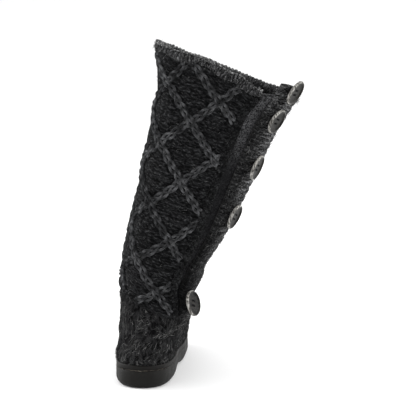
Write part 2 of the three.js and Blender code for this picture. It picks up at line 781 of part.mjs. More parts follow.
function buttonBand() {
  const count = 2 * Math.round((BAND_TOP - HEM_LEVEL) / SCALLOP_PITCH);
  const outer = countUp(count, (share, j) => {
    const level = mix(HEM_LEVEL + GAP, BAND_TOP, share);
    const ridge = j % 2 ? SCALLOP_DEPTH / 2 : -SCALLOP_DEPTH / 2;
    return bandProfile.map(({ place }) => {
      const pulled = place === 0 ? (SCALLOP_DEPTH * (j % 2)) / BAND_WIDTH : place;
      const distance = bandDistance(level, pulled);
      return skin(level, turnAt(level, distance), bandOffset(level, place, ridge));
    });
  });
  const rows = [...liningLevels.slice(0, -1), BAND_TOP];
  const inner = rows.map((level) => {
    const { bandBack, bandFront } = edgesAt(level);
    return liningRow(level, bandBack + SCALLOP_DEPTH, bandFront, -WALL, BAND_COLUMNS);
  });
  return wallShell(outer, inner, false);
}

// Collar roll: a tube seated on the collar's edge, from the slit round to the band.
function collarPoint(distance) {
  const turn = turnAt(COLLAR_LEVEL, distance);
  const up = skin(COLLAR_LEVEL, turn, 0).sub(skin(COLLAR_LEVEL - 2, turn, 0)).normalize();
  return skin(COLLAR_LEVEL, turn, -WALL / 2).add(up.multiplyScalar(ROLL_DIAMETER / 2 + LINING_GAP));
}

function collarRoll() {
  const { panelFront, panelBack } = edgesAt(COLLAR_LEVEL);
  const steps = Math.round((panelBack - panelFront) / ROLL_DIAMETER);
  const path = new THREE.CatmullRomCurve3(
    countUp(steps, (share) => collarPoint(mix(panelFront + GAP, panelBack, share))),
  );
  const section = new THREE.Shape();
  section.absarc(0, 0, ROLL_DIAMETER / 2, 0, 2 * Math.PI);
  const tube = new THREE.ExtrudeGeometry(section, { steps, extrudePath: path, curveSegments: ROLL_SEGMENTS });
  tube.deleteAttribute("normal");
  tube.deleteAttribute("uv");
  return geometryOf(solidOf(mergeVertices(tube, 1e-3)));
}

// Buttons: a dished disc with a raised rim on a short shank, turned a little to the outer side.
function buttonGeometry(shankLength) {
  const rim = BUTTON_DIAMETER / 2;
  const shank = SHANK_DIAMETER / 2;
  const face = shankLength + BUTTON_THICKNESS;
  const profile = [
    [0, 0],
    [shank, 0],
    [shank, shankLength],
    [rim - BUTTON_RIM / 2, shankLength],
    [rim, shankLength + BUTTON_THICKNESS / 2],
    [rim - BUTTON_RIM / 3, face],
    [rim - BUTTON_RIM, face - BUTTON_DISH / 3],
    [rim / 2, face - BUTTON_DISH],
    [0, face - BUTTON_DISH],
  ].map(([radius, height]) => new THREE.Vector2(radius, height));
  const lathe = new THREE.LatheGeometry(profile, BUTTON_SEGMENTS);
  lathe.deleteAttribute("normal");
  lathe.deleteAttribute("uv");
  return geometryOf(solidOf(mergeVertices(lathe, 1e-3)));
}

function bandFace(level, place) {
  return skin(level, turnAt(level, bandDistance(level, place)), bandOffset(level, place, SCALLOP_DEPTH / 2));
}

// The axis of a button leans from the band's face to the outer side; the disc clears the band.
function placeButton(button, { height, place, turn }) {
  const level = mix(HEM_LEVEL, COLLAR_LEVEL, height);
  const seat = bandFace(level, place);
  const across = bandFace(level, place + 0.2).sub(bandFace(level, place - 0.2));
  const up = bandFace(level + 6, place).sub(bandFace(level - 6, place)).normalize();
  const axis = across.cross(up).normalize();
  axis.applyAxisAngle(up, radians(turn));
  const samples = countUp(16, (side) =>
    countUp(24, (share) => bandFace(level + (share - 0.5) * 1.5 * BUTTON_DIAMETER, side).sub(seat)),
  ).flat();
  const heightIn = (radius) =>
    Math.max(
      ...samples
        .filter((sample) => Math.sqrt(Math.max(sample.lengthSq() - sample.dot(axis) ** 2, 0)) <= radius)
        .map((sample) => sample.dot(axis)),
    );
  const foot = heightIn(SHANK_DIAMETER / 2 + 2 * GAP) + GAP;
  const clear = Math.max(heightIn(BUTTON_DIAMETER / 2 + 1) + GAP, foot + 0.5);
  button.geometry = buttonGeometry(clear - foot);
  button.quaternion.setFromUnitVectors(new THREE.Vector3(0, 1, 0), axis);
  button.position.copy(seat).addScaledVector(axis, foot);
}

// Colours, roughness and metalness of the finishes.
const finishes = {
  knit: { color: 0x34363a, roughness: 0.95, metalness: 0 },
  brushedKnit: { color: 0x3b3c3c, roughness: 1, metalness: 0 },
  ribKnit: { color: 0x4a4c50, roughness: 0.95, metalness: 0 },
  fleece: { color: 0x1e1f22, roughness: 1, metalness: 0 },
  soleRubber: { color: 0x2c2926, roughness: 0.75, metalness: 0 },
  foxingRubber: { color: 0x232220, roughness: 0.7, metalness: 0 },
  lining: { color: 0x2a2826, roughness: 1, metalness: 0 },
  horn: { color: 0x8d867c, roughness: 0.3, metalness: 0 },
};

const boot = new THREE.Group();

function addPiece(name, geometry, finish) {
  const mesh = new THREE.Mesh(geometry, new THREE.MeshStandardMaterial(finishes[finish]));
  mesh.name = name;
  boot.add(mesh);
  return mesh;
}

addPiece("outsole", outsole(), "soleRubber");
addPiece("foxing_band", foxing(), "foxingRubber");
addPiece("insole", insole(), "lining");
addPiece("foot_upper", footUpper(), "brushedKnit");
addPiece("shaft", shaft(), "knit");
addPiece("gusset", gusset(), "fleece");
addPiece("button_band", buttonBand(), "ribKnit");
addPiece("collar_roll", collarRoll(), "ribKnit");
buttonPlaces.forEach((place, i) => {
  placeButton(addPiece("button_" + (i + 1), new THREE.BufferGeometry(), "horn"), place);
});

export default boot;
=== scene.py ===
import math

import bmesh
import bpy
import numpy as np
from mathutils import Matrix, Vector


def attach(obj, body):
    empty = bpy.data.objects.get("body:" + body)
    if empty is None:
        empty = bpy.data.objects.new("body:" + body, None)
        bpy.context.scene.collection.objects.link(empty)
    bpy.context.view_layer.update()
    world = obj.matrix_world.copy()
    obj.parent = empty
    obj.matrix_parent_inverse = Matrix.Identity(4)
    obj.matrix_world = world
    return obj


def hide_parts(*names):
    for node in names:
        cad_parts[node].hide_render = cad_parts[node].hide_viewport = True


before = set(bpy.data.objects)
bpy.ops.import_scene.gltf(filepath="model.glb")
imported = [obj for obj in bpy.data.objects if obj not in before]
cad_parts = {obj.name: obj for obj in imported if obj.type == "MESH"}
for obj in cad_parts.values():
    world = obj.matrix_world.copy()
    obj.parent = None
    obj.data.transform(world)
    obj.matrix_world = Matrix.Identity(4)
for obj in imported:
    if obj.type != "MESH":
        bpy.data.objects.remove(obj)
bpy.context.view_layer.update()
random = np.random.default_rng(7)
MM = 0.001

# Sizes of the CAD model in millimetres and degrees, in the same frame
SOLE_LENGTH = 264
HEEL_REACH = 34
TOE_REACH = SOLE_LENGTH - HEEL_REACH
BALL_WIDTH = 82
HEEL_THICKNESS = 20
FOREFOOT_THICKNESS = 16
TOE_SPRING = 8
ARCH_RISE = 3
SOLE_EDGE_RADIUS = 8
SOLE_LIP_RADIUS = 1.2
LUG_PITCH = 15
GROOVE_WIDTH = 4
GROOVE_DEPTH = 2.5
TREAD_MARGIN = 14
SPINE_DRIFT = 8
SPINE_MARGIN = 0.12
WALL = 3
FOXING_HEIGHT = 6.5
FOXING_THICKNESS = 1.5
HEM_HEIGHT_BACK = 85
HEM_HEIGHT_FRONT = 104
HEM_TILT = 25
HEM_SHIFT = 11.8
COUNTER_STEP = 1
COUNTER_RUN = 12
COUNTER_EDGE_SOLE = 78
COUNTER_EDGE_HEM = 34
FOOT_SQUARENESS = 2.6
COLLAR_HEIGHT_BACK = 346
COLLAR_HEIGHT_FRONT = 333
COLLAR_WIDTH = 160
COLLAR_BACK = 10
COLLAR_FRONT = 74
COLLAR_TILT = 20.5
COLLAR_SHIFT = 87
SHAFT_TURN = 4
HEM_SQUARENESS = 2.4
COLLAR_SQUARENESS = 2.6
DIAMOND_WIDTH = 64
DIAMOND_HEIGHT = 56
GRAIN_START = 85
GRAIN_DRIFT = -19
FIRST_CROSSING = 25
BAND_FRONT = 6
BAND_WIDTH = 36
BAND_THICKNESS = 5.5
BAND_TAB = 17
SCALLOP_PITCH = 9
SCALLOP_DEPTH = 1.4
SLIT_TOP = 15
SLIT_BOTTOM = 3
SLIT_TAPER = 0.6
EDGE_CABLE_WIDTH = 9
GUSSET_THICKNESS = 2.4
GUSSET_LAP = 12
ROLL_DIAMETER = 9
GAP = 0.3
LINING_GAP = 0.5

SOLE_STATIONS = [0, 0.019, 0.075, 0.2, 0.4, 0.6, 0.79, 0.94, 1]
SOLE_LATERAL = [0, 0.35, 0.62, 0.753, 0.775, 0.87, 0.935, 0.7, 0]
SOLE_MEDIAL = [0, 0.385, 0.68, 0.818, 0.82, 0.94, 0.96, 0.75, 0]

# back, rise, reach, lift, shift, medial, lateral, tilt, oval, swing
FOOT_SECTIONS = [
    (0.925, 0, 0.988, 0, 0, 0.95, 0.95, 0, 0, 0),
    (0.985, 0.12, 0.995, 0.1, 0.03, 0.97, 0.96, 0, 0, 0.3),
    (1.02, 0.3, 0.98, 0.3, 0.2, 0.99, 0.995, 0.03, 0.1, 1.1),
    (1.02, 0.46, 0.915, 0.44, 0.36, 0.997, 0.984, 0.1, 0.34, 2),
    (0.99, 0.6, 0.8, 0.54, 0.6, 1.005, 0.938, 0.24, 0.62, 1.8),
    (0.95, 0.72, 0.665, 0.64, 0.85, 1.017, 0.875, 0.42, 0.86, 1.1),
    (0.9, 0.83, 0.535, 0.755, 1, 1.036, 0.83, 0.62, 1, 0.4),
    (0.85, 0.92, 0.44, 0.88, 1, 1.053, 0.805, 0.82, 1, 0),
    (0.81, 1, 0.385, 1, 1, 1.033, 0.79, 1, 1, 0),
]
# up, up in front, back, front, shift, width, tilt
SHAFT_SECTIONS = [
    (0.088, 0.114, 0.03, 0.655, 0.001, 0.514, 1.027),
    (0.18, 0.232, 0.06, 1.0, 0.097, 0.534, 0.83),
    (0.32, 0.377, 0.17, 1.2, 0.303, 0.62, 0.708),
    (0.485, 0.522, 0.37, 1.34, 0.494, 0.698, 0.708),
    (0.658, 0.671, 0.57, 1.34, 0.672, 0.77, 0.78),
    (0.838, 0.842, 0.8, 1.2, 0.862, 0.842, 0.93),
    (1, 1, 1, 1, 1, 1, 1),
]
FOLD_START = 0.12
# height, reach, side, spread, depth
LEG_FOLDS = [
    (0.24, 0.165, 40, 60, 1.1),
    (0.61, 0.14, 75, 50, -0.9),
    (0.73, 0.235, 190, 60, -1.3),
    (0.24, 0.21, 180, 70, 1.2),
    (0.53, 0.19, 300, 50, -0.8),
]
# height, reach, swell
BAND_FOLDS = [(0.28, 0.13, 0.5), (0.51, 0.07, -0.6), (0.75, 0.165, 0.8)]


# Small functions
def mix(a, b, share):
    return a + (b - a) * share


def bell(distance, reach):
    return np.exp(-((distance / reach) ** 2))


def smooth(low, high, value):
    share = np.clip((value - low) / (high - low), 0, 1)
    return share * share * (3 - 2 * share)


def unit(vectors):
    return vectors / np.maximum(np.linalg.norm(vectors, axis=-1, keepdims=True), 1e-9)


def wrapped(turn):
    return np.arctan2(np.sin(turn), np.cos(turn))


def angle_from(turn, degrees):
    return wrapped(turn - math.radians(degrees))


def run_along(path):
    return np.concatenate([[0], np.cumsum(np.linalg.norm(np.diff(path, axis=0), axis=1))])


def uv_grid(across, along):
    return np.stack(np.broadcast_arrays(across, along), axis=-1)


def curve_through(stations, values):
    x = np.array(stations, float)
    y = np.array(values, float)
    slopes = np.diff(y) / np.diff(x)
    before, after = slopes[:-1], slopes[1:]
    rising = before * after > 0
    inner = np.where(rising, 2 * before * after / np.where(rising, before + after, 1), 0)
    tangents = np.concatenate([slopes[:1], inner, slopes[-1:]])

    def curve(s):
        s = np.asarray(s, float)
        held = np.clip(s, x[0], x[-1])
        i = np.clip(np.searchsorted(x, held, side="left") - 1, 0, len(x) - 2)
        step = x[i + 1] - x[i]
        u = (held - x[i]) / step
        lead = u * (1 - u) ** 2 * tangents[i]
        tail = u * u * (u - 1) * tangents[i + 1]
        inside = mix(y[i], y[i + 1], u * u * (3 - 2 * u)) + step * (lead + tail)
        below = tangents[0] * np.minimum(s - x[0], 0)
        above = tangents[-1] * np.maximum(s - x[-1], 0)
        return inside + below + above

    return curve


def outline_curve(values, odd):
    sign = -1 if odd else 1
    steps = len(values) - 1
    padded = np.array([sign * values[1], *values, sign * values[-2]], float)

    def curve(turn):
        place = np.abs(turn) / math.pi * steps
        i = np.minimum(np.floor(place).astype(int), steps - 1)
        x = place - i
        a, b, c, d = (padded[i + k] for k in range(4))
        bend = 2 * b + (c - a) * x + (2 * a - 5 * b + 4 * c - d) * x * x
        return 0.5 * (bend + (3 * b - 3 * c + d - a) * x**3)

    return curve


# Noise made of seeded waves: smooth, and the same at every run
WAVES = random.normal(size=(24, 3))
PHASES = random.uniform(0, 2 * math.pi, 24)


def waves(points, size, first=0, count=8):
    turns = points @ (WAVES[first : first + count].T / size) + PHASES[first : first + count]
    return np.sin(turns).sum(axis=-1) / math.sqrt(count / 2)


# The form of foot and leg, as in the CAD model
outline_station = outline_curve(SOLE_STATIONS, False)
outline_lateral = outline_curve(SOLE_LATERAL, True)
outline_medial = outline_curve(SOLE_MEDIAL, True)


def toe_spring(start, station):
    return TOE_SPRING * np.clip((station - start) / (1 - start), 0, 1.1) ** 2


def sole_bottom(station):
    arch = ARCH_RISE * smooth(0.27, 0.38, station) * (1 - smooth(0.44, 0.56, station))
    return arch + toe_spring(0.76, station)


def sole_top(station):
    return mix(HEEL_THICKNESS, FOREFOOT_THICKNESS, smooth(0.25, 0.6, station)) + toe_spring(0.72, station)


def spine_shift(station):
    return SPINE_DRIFT * smooth(0.5, 1, station)


HEEL_TOP = float(sole_top(0))
TOE_TOP = float(sole_top(1))
HEM_BACK_Y = HEEL_REACH * FOOT_SECTIONS[-1][0]
HEM_FRONT_Y = -TOE_REACH * FOOT_SECTIONS[-1][2]
ROWS = [
    dict(
        back_y=HEEL_REACH * back,
        back_z=mix(HEEL_TOP + GAP, HEM_HEIGHT_BACK, rise),
        front_y=-TOE_REACH * reach,
        front_z=mix(TOE_TOP + GAP, HEM_HEIGHT_FRONT, lift),
        shift=-HEM_SHIFT * shift,
        medial=BALL_WIDTH / 2 * medial,
        lateral=BALL_WIDTH / 2 * lateral,
        tilt=math.radians(HEM_TILT * tilt),
        oval=oval,
        square=FOOT_SQUARENESS,
        turn=-math.radians(swing),
    )
    for back, rise, reach, lift, shift, medial, lateral, tilt, oval, swing in FOOT_SECTIONS
]
ROWS += [
    dict(
        back_y=mix(HEM_BACK_Y, COLLAR_BACK, back),
        back_z=mix(HEM_HEIGHT_BACK, COLLAR_HEIGHT_BACK, up),
        front_y=mix(HEM_FRONT_Y, -COLLAR_FRONT, front),
        front_z=mix(HEM_HEIGHT_FRONT, COLLAR_HEIGHT_FRONT, up_front),
        shift=mix(-HEM_SHIFT, -COLLAR_SHIFT, shift),
        medial=COLLAR_WIDTH / 2 * width,
        lateral=COLLAR_WIDTH / 2 * width,
        tilt=math.radians(COLLAR_TILT * tilt),
        oval=1,
        square=mix(HEM_SQUARENESS, COLLAR_SQUARENESS, up),
        turn=math.radians(SHAFT_TURN * up),
    )
    for up, up_front, back, front, shift, width, tilt in SHAFT_SECTIONS
]
LEVELS = [0.0]
for last, row in zip(ROWS, ROWS[1:]):
    back_step = math.hypot(row["back_y"] - last["back_y"], row["back_z"] - last["back_z"])
    front_step = math.hypot(row["front_y"] - last["front_y"], row["front_z"] - last["front_z"])
    LEVELS.append(LEVELS[-1] + (back_step + front_step) / 2)
HEM_LEVEL = LEVELS[len(FOOT_SECTIONS) - 1]
COLLAR_LEVEL = LEVELS[-1]
BAND_TOP = COLLAR_LEVEL + BAND_TAB
CURVES = {name: curve_through(LEVELS, [row[name] for row in ROWS]) for name in ROWS[0]}


def form_point(level, turn):
    level, turn = np.broadcast_arrays(np.asarray(level, float), np.asarray(turn, float))
    row = {name: curve(level) for name, curve in CURVES.items()}
    side = wrapped(turn)
    c, s = np.cos(side), np.abs(np.sin(side))
    round_ = (np.abs(c) ** row["square"] + s ** row["square"]) ** (-1 / row["square"])
    lateral = np.sin(side) >= 0
    outline = np.where(lateral, outline_lateral(side), outline_medial(side))
    station = mix(outline_station(side), (1 - round_ * c) / 2, row["oval"])
    half = mix(np.maximum(outline, 0), round_ * s, row["oval"])
    half = half * np.where(lateral, row["lateral"], row["medial"])
    across = np.where(lateral, -half, half) + spine_shift(station) * (1 - row["oval"])
    along = (station - 0.5) * (row["front_y"] - row["back_y"])
    x = across * np.cos(row["turn"]) + along * np.sin(row["turn"])
    y = along * np.cos(row["turn"]) - across * np.sin(row["turn"])
    sole = (sole_top(station) - mix(HEEL_TOP, TOE_TOP, station)) * (1 - row["oval"])
    return np.stack(
        [
            row["shift"] + x * np.cos(row["tilt"]),
            (row["back_y"] + row["front_y"]) / 2 + y,
            mix(row["back_z"], row["front_z"], station) + sole + x * np.sin(row["tilt"]),
        ],
        axis=-1,
    )


def upwards(level, turn, step=1):
    return form_point(level + step, turn) - form_point(level - step, turn)


def sidewards(level, turn, step=0.01):
    return form_point(level, turn + step) - form_point(level, turn - step)


def form_normal(level, turn):
    level, turn = np.broadcast_arrays(np.asarray(level, float), np.asarray(turn, float))
    return unit(np.cross(sidewards(level, turn), upwards(level, turn, 0.5)))


def diamonds_up(level):
    return (level - HEM_LEVEL) / DIAMOND_HEIGHT


def fold_depth(level, turn):
    height = diamonds_up(level)
    depth = 0
    for at, reach, side, spread, deep in LEG_FOLDS:
        near = bell(angle_from(turn, side), math.radians(spread))
        depth = depth + deep * WALL * bell(height - at, reach) * near
    return depth * smooth(0, FOLD_START, height)


# Sags of the collar's edge behind the slit and at the middle of the back: side, spread, depth
SAGS = [(30, 15, 8.5), (4, 7, 2.2), (345, 10, -2.0), (322, 10, 2.0), (14, 4, -1.4)]
SAG_RUN = 34


def sag(level, turn):
    drop = 0
    for side, spread, depth in SAGS:
        drop = drop + depth * bell(angle_from(turn, side), math.radians(spread))
    return drop * smooth(COLLAR_LEVEL - SAG_RUN, COLLAR_LEVEL, level)


def skin(level, turn, offset):
    depth = np.asarray(offset + fold_depth(level, turn))[..., None]
    points = form_point(level, turn) + form_normal(level, turn) * depth
    points[..., 2] -= sag(level, turn)
    return points


# Distances round the leg from the inner side over the back, tabled at even levels
TABLE_STEP = 2.0
TABLE_LEVELS = np.arange(-4, BAND_TOP + 6, TABLE_STEP)
TABLE_DISTANCES = np.arange(-480, 481, TABLE_STEP)
GIRTH_START = -450
GIRTH_TURNS = np.radians(np.arange(GIRTH_START, 271, TABLE_STEP))
OUTER_BEFORE, INNER_COLUMN, OUTER_COLUMN = (
    int((degrees - GIRTH_START) / TABLE_STEP) for degrees in (-270, -90, 90)
)


def girths(levels):
    points = form_point(levels[:, None], GIRTH_TURNS[None, :])
    steps = np.linalg.norm(np.diff(points, axis=1), axis=2)
    lengths = np.concatenate([np.zeros((len(levels), 1)), np.cumsum(steps, axis=1)], axis=1)
    return lengths - lengths[:, INNER_COLUMN, None]


TABLE_GIRTHS = girths(TABLE_LEVELS)
TURN_TABLE = np.array([np.interp(TABLE_DISTANCES, lengths, GIRTH_TURNS) for lengths in TABLE_GIRTHS])
OUTER_SIDE = TABLE_GIRTHS[:, OUTER_COLUMN]
AROUND = OUTER_SIDE - TABLE_GIRTHS[:, OUTER_BEFORE]


def turn_at(level, distance):
    level, distance = np.broadcast_arrays(np.asarray(level, float), np.asarray(distance, float))
    a = np.clip((level - TABLE_LEVELS[0]) / TABLE_STEP, 0, len(TABLE_LEVELS) - 1.001)
    b = np.clip((distance - TABLE_DISTANCES[0]) / TABLE_STEP, 0, len(TABLE_DISTANCES) - 1.001)
    i, j = a.astype(int), b.astype(int)
    lower = mix(TURN_TABLE[i, j], TURN_TABLE[i, j + 1], b - j)
    upper = mix(TURN_TABLE[i + 1, j], TURN_TABLE[i + 1, j + 1], b - j)
    return mix(lower, upper, a - i)


def edges_at(level):
    level = np.asarray(level, float)
    share = np.clip((level - HEM_LEVEL) / (COLLAR_LEVEL - HEM_LEVEL), 0, 1)
    outer = np.interp(level, TABLE_LEVELS, OUTER_SIDE)
    around = np.interp(level, TABLE_LEVELS, AROUND)
    slit = mix(SLIT_BOTTOM, SLIT_TOP, share**SLIT_TAPER)
    band_back = outer - BAND_FRONT - BAND_WIDTH
    return dict(
        panel_back=band_back - slit,
        band_back=band_back,
        band_front=outer - BAND_FRONT,
        panel_front=outer - BAND_FRONT - around + GAP,
    )


def grain_at(level):
    return GRAIN_START + GRAIN_DRIFT * (level - HEM_LEVEL) / (COLLAR_LEVEL - HEM_LEVEL)


def mesh_data(name, mesh):
    data = bpy.data.meshes.new(name)
    mesh.to_mesh(data)
    mesh.free()
    return data


def placed(name, data):
    made = bpy.data.objects.new(name, data)
    bpy.context.scene.collection.objects.link(made)
    return made


# Meshes from grids of points, made by the grid operator and closed by merging their seams
class Patches:
    def __init__(self):
        self.mesh = bmesh.new()
        self.points = []
        self.uvs = []
        self.faces = []

    def grid(self, points, uv, material=0):
        rows, columns = points.shape[:2]
        bmesh.ops.create_grid(self.mesh, x_segments=columns - 1, y_segments=rows - 1, size=1)
        self.points.append(points.reshape(-1, 3))
        self.uvs.append(uv.reshape(-1, 2))
        self.faces.append(np.full((rows - 1) * (columns - 1), material))

    def wall(self, outer, uv, inner, inner_uv):
        self.grid(outer, uv)
        closing = np.concatenate([outer[-1:], inner, outer[:1]])
        self.grid(closing, np.concatenate([uv[-1:], inner_uv, uv[:1]]), 1)

    def capped(self, points, uv):
        low, high = (
            np.broadcast_to(end.mean(axis=1, keepdims=True), end.shape) for end in (points[:1], points[-1:])
        )
        self.grid(np.concatenate([low, points, high]), np.concatenate([uv[:1], uv, uv[-1:]]))

    def tube(self, path, radius, out, sides=8, material=0):
        tangent = unit(np.gradient(path, axis=0))
        side = unit(np.cross(tangent, out))
        out = unit(np.cross(side, tangent))
        angle = np.linspace(0, 2 * math.pi, sides + 1)
        radius = np.broadcast_to(radius, len(path))[:, None, None]
        ring = out[:, None] * np.cos(angle)[:, None] - side[:, None] * np.sin(angle)[:, None]
        uv = uv_grid(angle[None, :] * 3, run_along(path)[:, None])
        self.grid(path[:, None] - ring * radius, uv, material)

    def piece(self, name, slot, materials, replaced=()):
        data = mesh_data(name, self.mesh)
        data.vertices.foreach_set("co", (np.concatenate(self.points) * MM).ravel())
        corners = np.empty(len(data.loops), np.int32)
        data.loops.foreach_get("vertex_index", corners)
        layer = data.uv_layers.new(name="UVMap")
        layer.uv.foreach_set("vector", (np.concatenate(self.uvs)[corners] * MM).ravel())
        data.polygons.foreach_set("material_index", np.concatenate(self.faces).astype(np.int32))
        return finish_piece(data, name, materials, replaced)


def finish_piece(data, name, materials, replaced=()):
    closed = bmesh.new()
    closed.from_mesh(data)
    bmesh.ops.remove_doubles(closed, verts=closed.verts, dist=1e-6)
    closed.to_mesh(data)
    closed.free()
    data.polygons.foreach_set("use_smooth", [True] * len(data.polygons))
    for material in materials:
        data.materials.append(material)
    piece = placed(name, data)
    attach(piece, "root")
    if replaced:
        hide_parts(*replaced)
    return piece


# Node materials
class Shader:
    def __init__(self, name):
        self.material = bpy.data.materials.new(name)
        self.material.use_nodes = True
        self.tree = self.material.node_tree
        self.surface = self.tree.nodes["Principled BSDF"]

    def node(self, kind, **settings):
        made = self.tree.nodes.new(kind)
        for key, value in settings.items():
            setattr(made, key, value)
        return made

    def feed(self, socket, value):
        if isinstance(value, bpy.types.NodeSocket):
            self.tree.links.new(value, socket)
        else:
            socket.default_value = value

    def math(self, operation, *values):
        made = self.node("ShaderNodeMath", operation=operation)
        for socket, value in zip(made.inputs, values):
            self.feed(socket, value)
        return made.outputs[0]

    def times(self, a, b):
        return self.math("MULTIPLY", a, b)

    def plus(self, a, b):
        return self.math("ADD", a, b)

    def line(self, value, slope, base):
        return self.math("MULTIPLY_ADD", value, slope, base)

    def wave(self, value, length):
        return self.math("SINE", self.times(value, 2 * math.pi / length))

    def ramp(self, value, low, high, start=0.0, end=1.0):
        made = self.node("ShaderNodeMapRange")
        for socket, given in zip(made.inputs, (value, low, high, start, end)):
            self.feed(socket, given)
        return made.outputs[0]

    def place(self, kind="Object", stretch=(1, 1, 1)):
        made = self.node("ShaderNodeTexCoord")
        mapping = self.node("ShaderNodeMapping")
        self.tree.links.new(made.outputs[kind], mapping.inputs["Vector"])
        mapping.inputs["Scale"].default_value = stretch
        return mapping.outputs[0]

    def parts(self, kind="Object"):
        made = self.node("ShaderNodeSeparateXYZ")
        self.feed(made.inputs[0], self.place(kind))
        return made.outputs

    def noise(self, scale, detail=2.0, distortion=0.0, kind="Object", stretch=(1, 1, 1)):
        made = self.node("ShaderNodeTexNoise")
        self.feed(made.inputs["Vector"], self.place(kind, stretch))
        made.inputs["Scale"].default_value = scale
        made.inputs["Detail"].default_value = detail
        made.inputs["Distortion"].default_value = distortion
        return made.outputs[0]

    def colours(self, share, dark, light):
        made = self.node("ShaderNodeMix", data_type="RGBA")
        self.feed(made.inputs[0], share)
        made.inputs[6].default_value = (*dark, 1)
        made.inputs[7].default_value = (*light, 1)
        return made.outputs[2]

    def bump(self, height, distance, normal=None):
        made = self.node("ShaderNodeBump")
        made.inputs["Distance"].default_value = distance
        self.feed(made.inputs["Height"], height)
        if normal is not None:
            self.feed(made.inputs["Normal"], normal)
        return made.outputs[0]

    def done(self, colour, normal=None, roughness=0.95, sheen=0.02, gloss=0.02):
        self.feed(self.surface.inputs["Base Color"], colour)
        self.feed(self.surface.inputs["Roughness"], roughness)
        self.surface.inputs["Sheen Weight"].default_value = sheen
        self.surface.inputs["Specular IOR Level"].default_value = gloss
        if normal is not None:
            self.feed(self.surface.inputs["Normal"], normal)
        return self.material


INK = (0.0022, 0.0023, 0.0025)
CHARCOAL = (0.0035, 0.0036, 0.004)


# Knitted rows on the piece's own coordinates: across the rows v, along them u, in metres
ROW_WANDER = 1.6
LOOP_BEND = 0.15
MARL_TONE = (0.42, 0.64)
FIBRE_TONE = (0.36, 0.66, 0.1, 1.5)
TAB_FADE = 0.03


def knit_material(name, dark, light, row, stitch, relief, twill=0.0, sheen=0.02, painted_shade=None):
    shader = Shader(name)
    along, across = shader.parts("UV")[:2]
    wander = shader.times(shader.noise(75, 4, 0.5), row * ROW_WANDER)
    loops = shader.wave(along, stitch)
    bent = shader.plus(across, shader.times(loops, row * LOOP_BEND))
    leaning = shader.plus(bent, shader.times(along, twill))
    rows = shader.line(shader.wave(shader.plus(leaning, wander), row), 0.5, 0.5)
    broken = shader.times(rows, shader.line(loops, 0.3, 0.7))
    fibres = shader.noise(330, 5, 2.2, "UV", (0.8, 2.6, 1))
    fluff = shader.noise(1100, 3, 1.5)
    height = shader.plus(broken, shader.times(fibres, 0.9))
    marl = shader.noise(190, 4, 1.5, "UV", (0.6, 2.2, 1))
    tone = shader.line(broken, 0.75, 0.25)
    tone = shader.times(tone, shader.ramp(marl, *MARL_TONE))
    tone = shader.times(tone, shader.ramp(fibres, *FIBRE_TONE))
    # painted shade: where given, the band's rear edge and its lower, folded part are darkened as if in
    # shadow, but not the tab
    if painted_shade is not None:
        rear, low, high, tab = painted_shade
        behind = shader.ramp(along, rear, 3 * rear, 0.25)
        lit = shader.math("MAXIMUM", behind, shader.ramp(across, tab - TAB_FADE, tab))
        tone = shader.times(tone, lit)
        tone = shader.times(tone, shader.ramp(across, low, high, 0.3))
    normal = shader.bump(fluff, relief * 0.4, shader.bump(height, relief))
    return shader.done(shader.colours(tone, dark, light), normal, sheen=sheen)


# A knit strand on its own coordinates: stitches as slanting strokes along it, v in metres
STROKE_LENGTH = 0.0105
STROKE_LEAN = 0.35


def strand_material(name, dark, light):
    shader = Shader(name)
    around, along = shader.parts("UV")[:2]
    wander = shader.times(shader.noise(120, 3), 0.004)
    leaning = shader.plus(shader.plus(along, wander), shader.times(around, STROKE_LEAN))
    strokes = shader.line(shader.wave(leaning, STROKE_LENGTH), 0.5, 0.5)
    fibres = shader.noise(420, 4, 1.6, "UV", (3.0, 0.45, 1))
    marl = shader.noise(70, 3, 0.5)
    tone = shader.line(strokes, 0.65, 0.35)
    tone = shader.times(tone, shader.ramp(fibres, 0.38, 0.62, 0.1, 1.3))
    tone = shader.times(tone, shader.ramp(marl, 0.36, 0.62, 0.25, 1.1))
    return shader.done(shader.colours(tone, dark, light), shader.bump(shader.plus(strokes, fibres), 0.0009))


# Plied yarn or brushed pile, by noise alone; where rise is given, painted shade makes it darker low down
LOCK_TONE = (0.4, 0.66)


def pile_material(name, dark, light, scale, relief, stretch=(1, 1, 1), rise=None):
    shader = Shader(name)
    locks = shader.noise(scale, 5, 0.8, "Object", stretch)
    fluff = shader.noise(scale * 6, 4, 1.0, "Object", stretch)
    patches = shader.noise(45, 2)
    tone = shader.times(shader.ramp(locks, *LOCK_TONE), shader.ramp(fluff, 0.3, 0.7, 0.3, 1.2))
    tone = shader.times(tone, shader.ramp(patches, 0.3, 0.7, 0.6, 1.2))
    if rise is not None:
        tone = shader.times(tone, shader.ramp(shader.parts()[2], *rise))
    normal = shader.bump(shader.plus(locks, shader.times(fluff, 0.4)), relief)
    return shader.done(shader.colours(tone, dark, light), normal)


# Moulded rubber with dust on the upper part of the sole's side
DUSTY_HEIGHTS = (0.014, 0.021)


def rubber_material(name, dark, light, dusty):
    shader = Shader(name)
    grain = shader.noise(1500, 3)
    blotches = shader.noise(60, 4)
    upper = shader.ramp(shader.parts()[2], *DUSTY_HEIGHTS, 0.0, dusty)
    specks = shader.ramp(shader.noise(420, 5), 0.52, 0.72)
    tone = shader.plus(shader.times(blotches, 0.6), shader.times(upper, specks))
    rough = shader.ramp(blotches, 0.3, 0.7, 0.55, 0.75)
    return shader.done(shader.colours(tone, dark, light), shader.bump(grain, 0.00025), rough, 0.0, 0.16)


# Horn with a pale rim, a painted highlight of the light catching the button's edge, told by the distance from
# the axis, which is u
RIM_HIGHLIGHT_RADII = (0.013, 0.0136)


